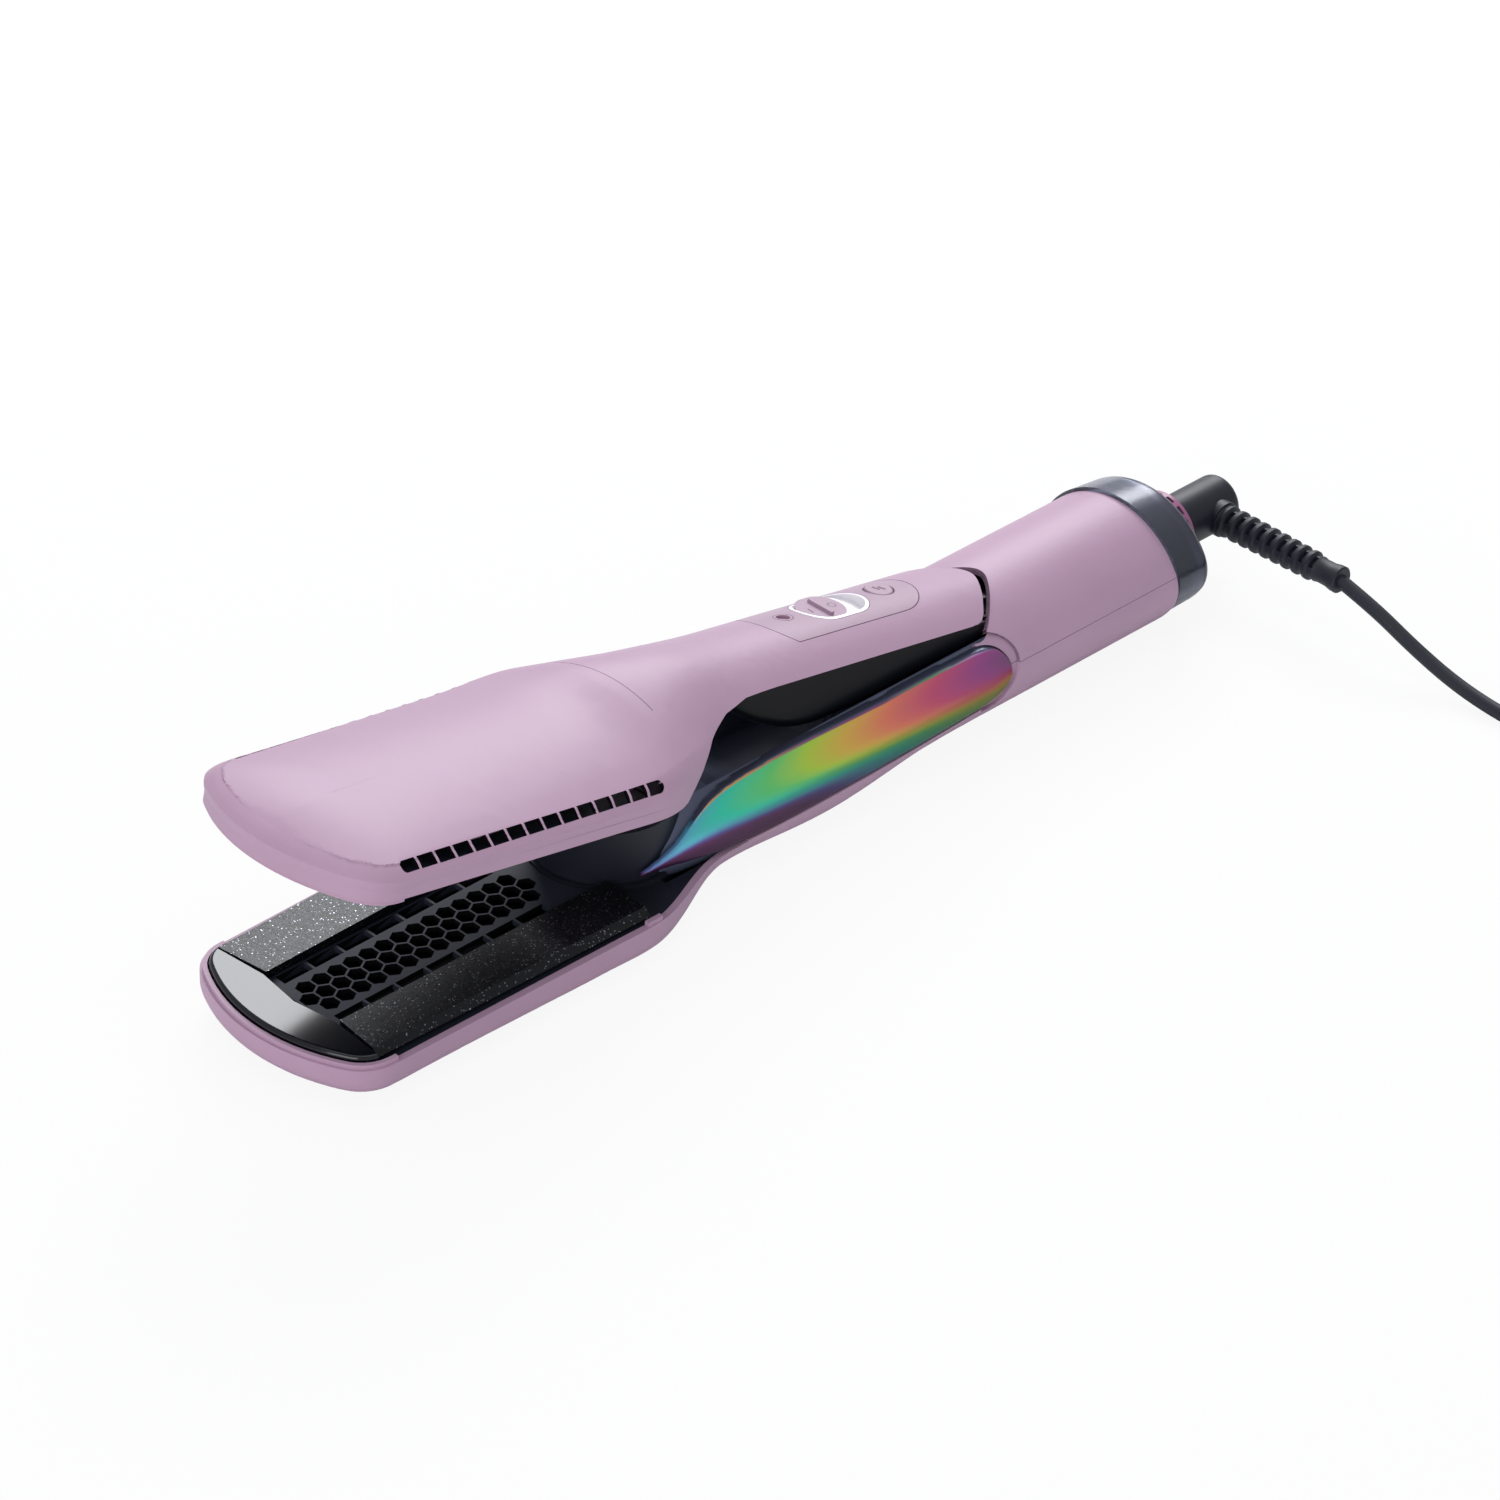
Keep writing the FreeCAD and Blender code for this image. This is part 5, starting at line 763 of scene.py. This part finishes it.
def set_mark(name, builder, shown, node, middle, turn):
    """Lays a mark on a node's top, turned in its plane, and makes it a piece."""
    place = Matrix.Translation(on_surface(shown[node], *middle)) @ ARM_OPEN.to_4x4()
    bmesh.ops.transform(builder, verts=builder.verts,
                        matrix=place @ Matrix.Rotation(math.radians(turn), 4, "Z"))
    new_piece(name, builder, BODY_OF[node], "groove_shade_and_print")


# Heights and sides that part what is in sight from the insides that take painted shade, in mm: of the lower
# casing's rim and floor, of the closed arm's lower edge, and of the arm's far side
RIM_Z = 12.2
FLOOR_Z = 11.0
ARM_EDGE_Z = 16.8
FAR_SIDE_Y = 18.0
# How far the walls of a grill's cell look across it for painted shade, in mm
CELL_REACH = 8.0


def paint_shade_insides(shown):
    """Paints shade on the insides of the casings, the intake ring and the grills."""
    lower, upper, arm = (shown[node] for node in ("lower_casing", "barrel_upper_casing", "arm_casing"))
    neighbours = [piece for node, piece in shown.items()
                  if piece is not lower and BODY_OF[node] == BODY_OF["lower_casing"]]
    paint_shade_inside(lower, neighbours, lambda face: face.center.z > RIM_Z * MM and not towards_axis(face),
                  floor=FLOOR_Z)
    paint_shade_inside(upper, [], lambda face: not towards_axis(face))
    paint_shade_inside(arm, [], lambda face: closed_place(face.center).z < ARM_EDGE_Z
                  or face.center.y > FAR_SIDE_Y * MM)
    paint_shade_inside(shown["intake_ring"], [], lambda face: abs(face.normal.x) > 0.5)
    for grill in ("lower_grill", "upper_grill"):
        paint_shade_inside(shown[grill], [], lambda face: abs(face.normal.z) > 0.5, CELL_REACH)


def dress_nodes():
    """Gives every node its finish, on a smooth copy where its faces are round."""
    shown = {}
    for node, piece in frame["nodes"].items():
        finish = OWN_FINISH.get(node, FINISH_OF[node])
        if node in PANELS:
            shown[node] = remeshed(node, BODY_OF[node], finish, PANEL_MESH, PANEL_ROUNDS)
            mark_rise(shown[node])
        elif node in ROUNDED or node in OWN_FINISH:
            shown[node] = smooth_copy(node, BODY_OF[node], finish)
        elif node == "strain_relief":
            shown[node] = strain_relief()
        elif node not in CORD_NODES:
            piece.data.materials.clear()
            piece.data.materials.append(FINISHES[finish])
            shown[node] = piece
    paint_shade_insides(shown)
    for grill in ("lower_grill", "upper_grill"):
        widen_cells(shown[grill])
    round_brim(shown["arm_casing"])
    outline_top(shown["control_inlay"])
    band_round_arm(shown["arm_casing"])
    swell_cap(shown["rear_cap"])
    front_lip(shown["barrel_upper_casing"])
    printed_marks(shown)
    return shown


# Cord, in mm of the drawing; its turns in degrees

CORD_R = 2.1
CORD_RUN = [(356.7, -50.0, 18.5), (356.9, -63.0, 15.2), (357.3, -78.0, 8.9), (357.6, -93.0, 4.2),
            (357.8, -108.0, 2.15), (358.0, -122.0, 2.1), (358.0, -136.0, 2.1)]
COIL_R = 31.8
COIL_PITCH = 4.7
COIL_LAYERS = 4
LAYER_HALF_TURNS = 7
POINTS_PER_HALF_TURN = 8
TAIL_STEP = 12.0
TAIL_TURN = 30.0
TAIL_DROPS = (0.5, 2.6, 5.6, 8.0, 9.0, 9.3)
PLUG_HIGH = 13.7


def coil_radii():
    """Radius and climb of each half turn: in and out again, a layer up at each reversal."""
    step = COIL_PITCH / 2
    inwards = [COIL_R - step * i for i in range(LAYER_HALF_TURNS)]
    turns = []
    for layer in range(COIL_LAYERS):
        going_in = layer % 2 == 0
        turns += [(r, 0.0) for r in (inwards if going_in else reversed(inwards))]
        if layer < COIL_LAYERS - 1:
            turns.append((inwards[-1] - step if going_in else COIL_R + step, COIL_PITCH))
    return turns


def cord_route():
    """The cord's points from the strain relief along the table, through the coil, to the plug."""
    points = [Vector(p) for p in CORD_RUN]
    side = 1
    for radius, climb in coil_radii():
        start = points[-1].copy()
        centre = start + Vector((side * radius, 0, 0))
        for i in range(1, POINTS_PER_HALF_TURN + 1):
            share = i / POINTS_PER_HALF_TURN
            turned = math.pi * share
            round_it = Vector((-side * math.cos(turned), -side * math.sin(turned), 0)) * radius
            points.append(centre + round_it + Vector((0, 0, climb * share)))
        side = -side
    top = points[-1].copy()
    here, way = top.copy(), math.pi / 2
    for drop in TAIL_DROPS:
        here += Vector((math.cos(way), math.sin(way), 0)) * TAIL_STEP
        points.append(Vector((here.x, here.y, top.z - drop)))
        way -= math.radians(TAIL_TURN)
    points.append(Vector((here.x, here.y - TAIL_STEP, PLUG_HIGH / 2)))
    return [at(*p) for p in points]


def lay_cord():
    """The mains cord as one smooth curve, put away in a coil beside the styler."""
    data = bpy.data.curves.new("cord", "CURVE")
    data.dimensions = "3D"
    data.bevel_depth = CORD_R * MM
    data.bevel_resolution = 4
    data.resolution_u = 6
    data.use_fill_caps = True
    route = cord_route()
    spline = data.splines.new("NURBS")
    spline.points.add(len(route) - 1)
    for point, place in zip(spline.points, route):
        point.co = (*place, 1)
    spline.order_u = 3
    spline.use_endpoint_u = True
    data.materials.append(FINISHES["cord_rubber"])
    cord = bpy.data.objects.new("cord", data)
    bpy.context.scene.collection.objects.link(cord)
    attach(cord, "cord")
    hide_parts("cord_run", "cord_coil", "cord_tail")


# Surroundings

def softbox(name, place, aim, wide, high, power):
    """A large soft lamp aimed at a point."""
    data = bpy.data.lights.new(name, "AREA")
    data.shape = "RECTANGLE"
    data.size, data.size_y = wide, high
    data.energy = power
    data.color = (0.96, 0.97, 1.0)
    lamp = bpy.data.objects.new(name, data)
    lamp.location = place
    lamp.rotation_mode = "QUATERNION"
    lamp.rotation_quaternion = (Vector(aim) - Vector(place)).to_track_quat("-Z", "Y")
    bpy.context.scene.collection.objects.link(lamp)


def white_backdrop():
    """A world that is white to the camera and through clear plastic, and a dimmer, bluer light elsewhere."""
    world = bpy.data.worlds.new("studio")
    bpy.context.scene.world = world
    world.use_nodes = True
    tree = world.node_tree
    tree.nodes.clear()
    path = add_node(tree, "ShaderNodeLightPath")
    seen = add_node(tree, "ShaderNodeMath", {0: path.outputs["Is Camera Ray"],
                    1: path.outputs["Is Transmission Ray"]}, operation="MAXIMUM")
    strength = add_node(tree, "ShaderNodeMapRange", {"Value": seen.outputs["Value"], "To Min": 0.5,
                        "To Max": 1.0})
    tint = add_node(tree, "ShaderNodeMix", {"Factor": seen.outputs["Value"], "A": (0.93, 0.95, 1, 1),
                    "B": (1, 1, 1, 1)}, data_type="RGBA")
    sky = add_node(tree, "ShaderNodeBackground", {"Color": tint.outputs["Result"],
                   "Strength": strength.outputs["Result"]})
    add_node(tree, "ShaderNodeOutputWorld", {"Surface": sky.outputs["Background"]})


FLOOR_HALF = 4.0


def white_floor():
    """A sheet of white paper that keeps the styler's soft shadow."""
    builder = bmesh.new()
    bmesh.ops.create_grid(builder, x_segments=1, y_segments=1, size=FLOOR_HALF)
    mesh = bpy.data.meshes.new("floor")
    builder.to_mesh(mesh)
    builder.free()
    floor = bpy.data.objects.new("floor", mesh)
    bpy.context.scene.collection.objects.link(floor)
    paper = bpy.data.materials.new("white_paper")
    paper.use_nodes = True
    tree = paper.node_tree
    tree.nodes.clear()
    path = add_node(tree, "ShaderNodeLightPath")
    matt = add_node(tree, "ShaderNodeBsdfDiffuse", {"Color": (0.9, 0.9, 0.9, 1)})
    glow = add_node(tree, "ShaderNodeEmission", {"Strength": 1.0})
    share = add_node(tree, "ShaderNodeMath", {0: path.outputs["Is Camera Ray"], 1: 0.9},
                     operation="MULTIPLY")
    both = add_node(tree, "ShaderNodeMixShader", {0: share.outputs["Value"], 1: matt.outputs["BSDF"],
                    2: glow.outputs["Emission"]})
    add_node(tree, "ShaderNodeOutputMaterial", {"Surface": both.outputs["Shader"]})
    mesh.materials.append(paper)


set_camera()
shown_nodes = dress_nodes()
lay_cord()
white_backdrop()
white_floor()
# A bright window behind, where flat tops mirror it to the camera, and two soft fills
softbox("window", (0.95, 0.9, 0.9), (-0.05, 0, 0.02), 1.0, 0.7, 18)
softbox("overhead", (-0.2, -0.1, 1.6), (0, 0, 0), 1.4, 1.0, 4)
softbox("left_fill", (-1.5, -0.5, 0.5), (0, 0, 0), 0.9, 0.9, 8)
bpy.context.scene.view_settings.view_transform = "Standard"
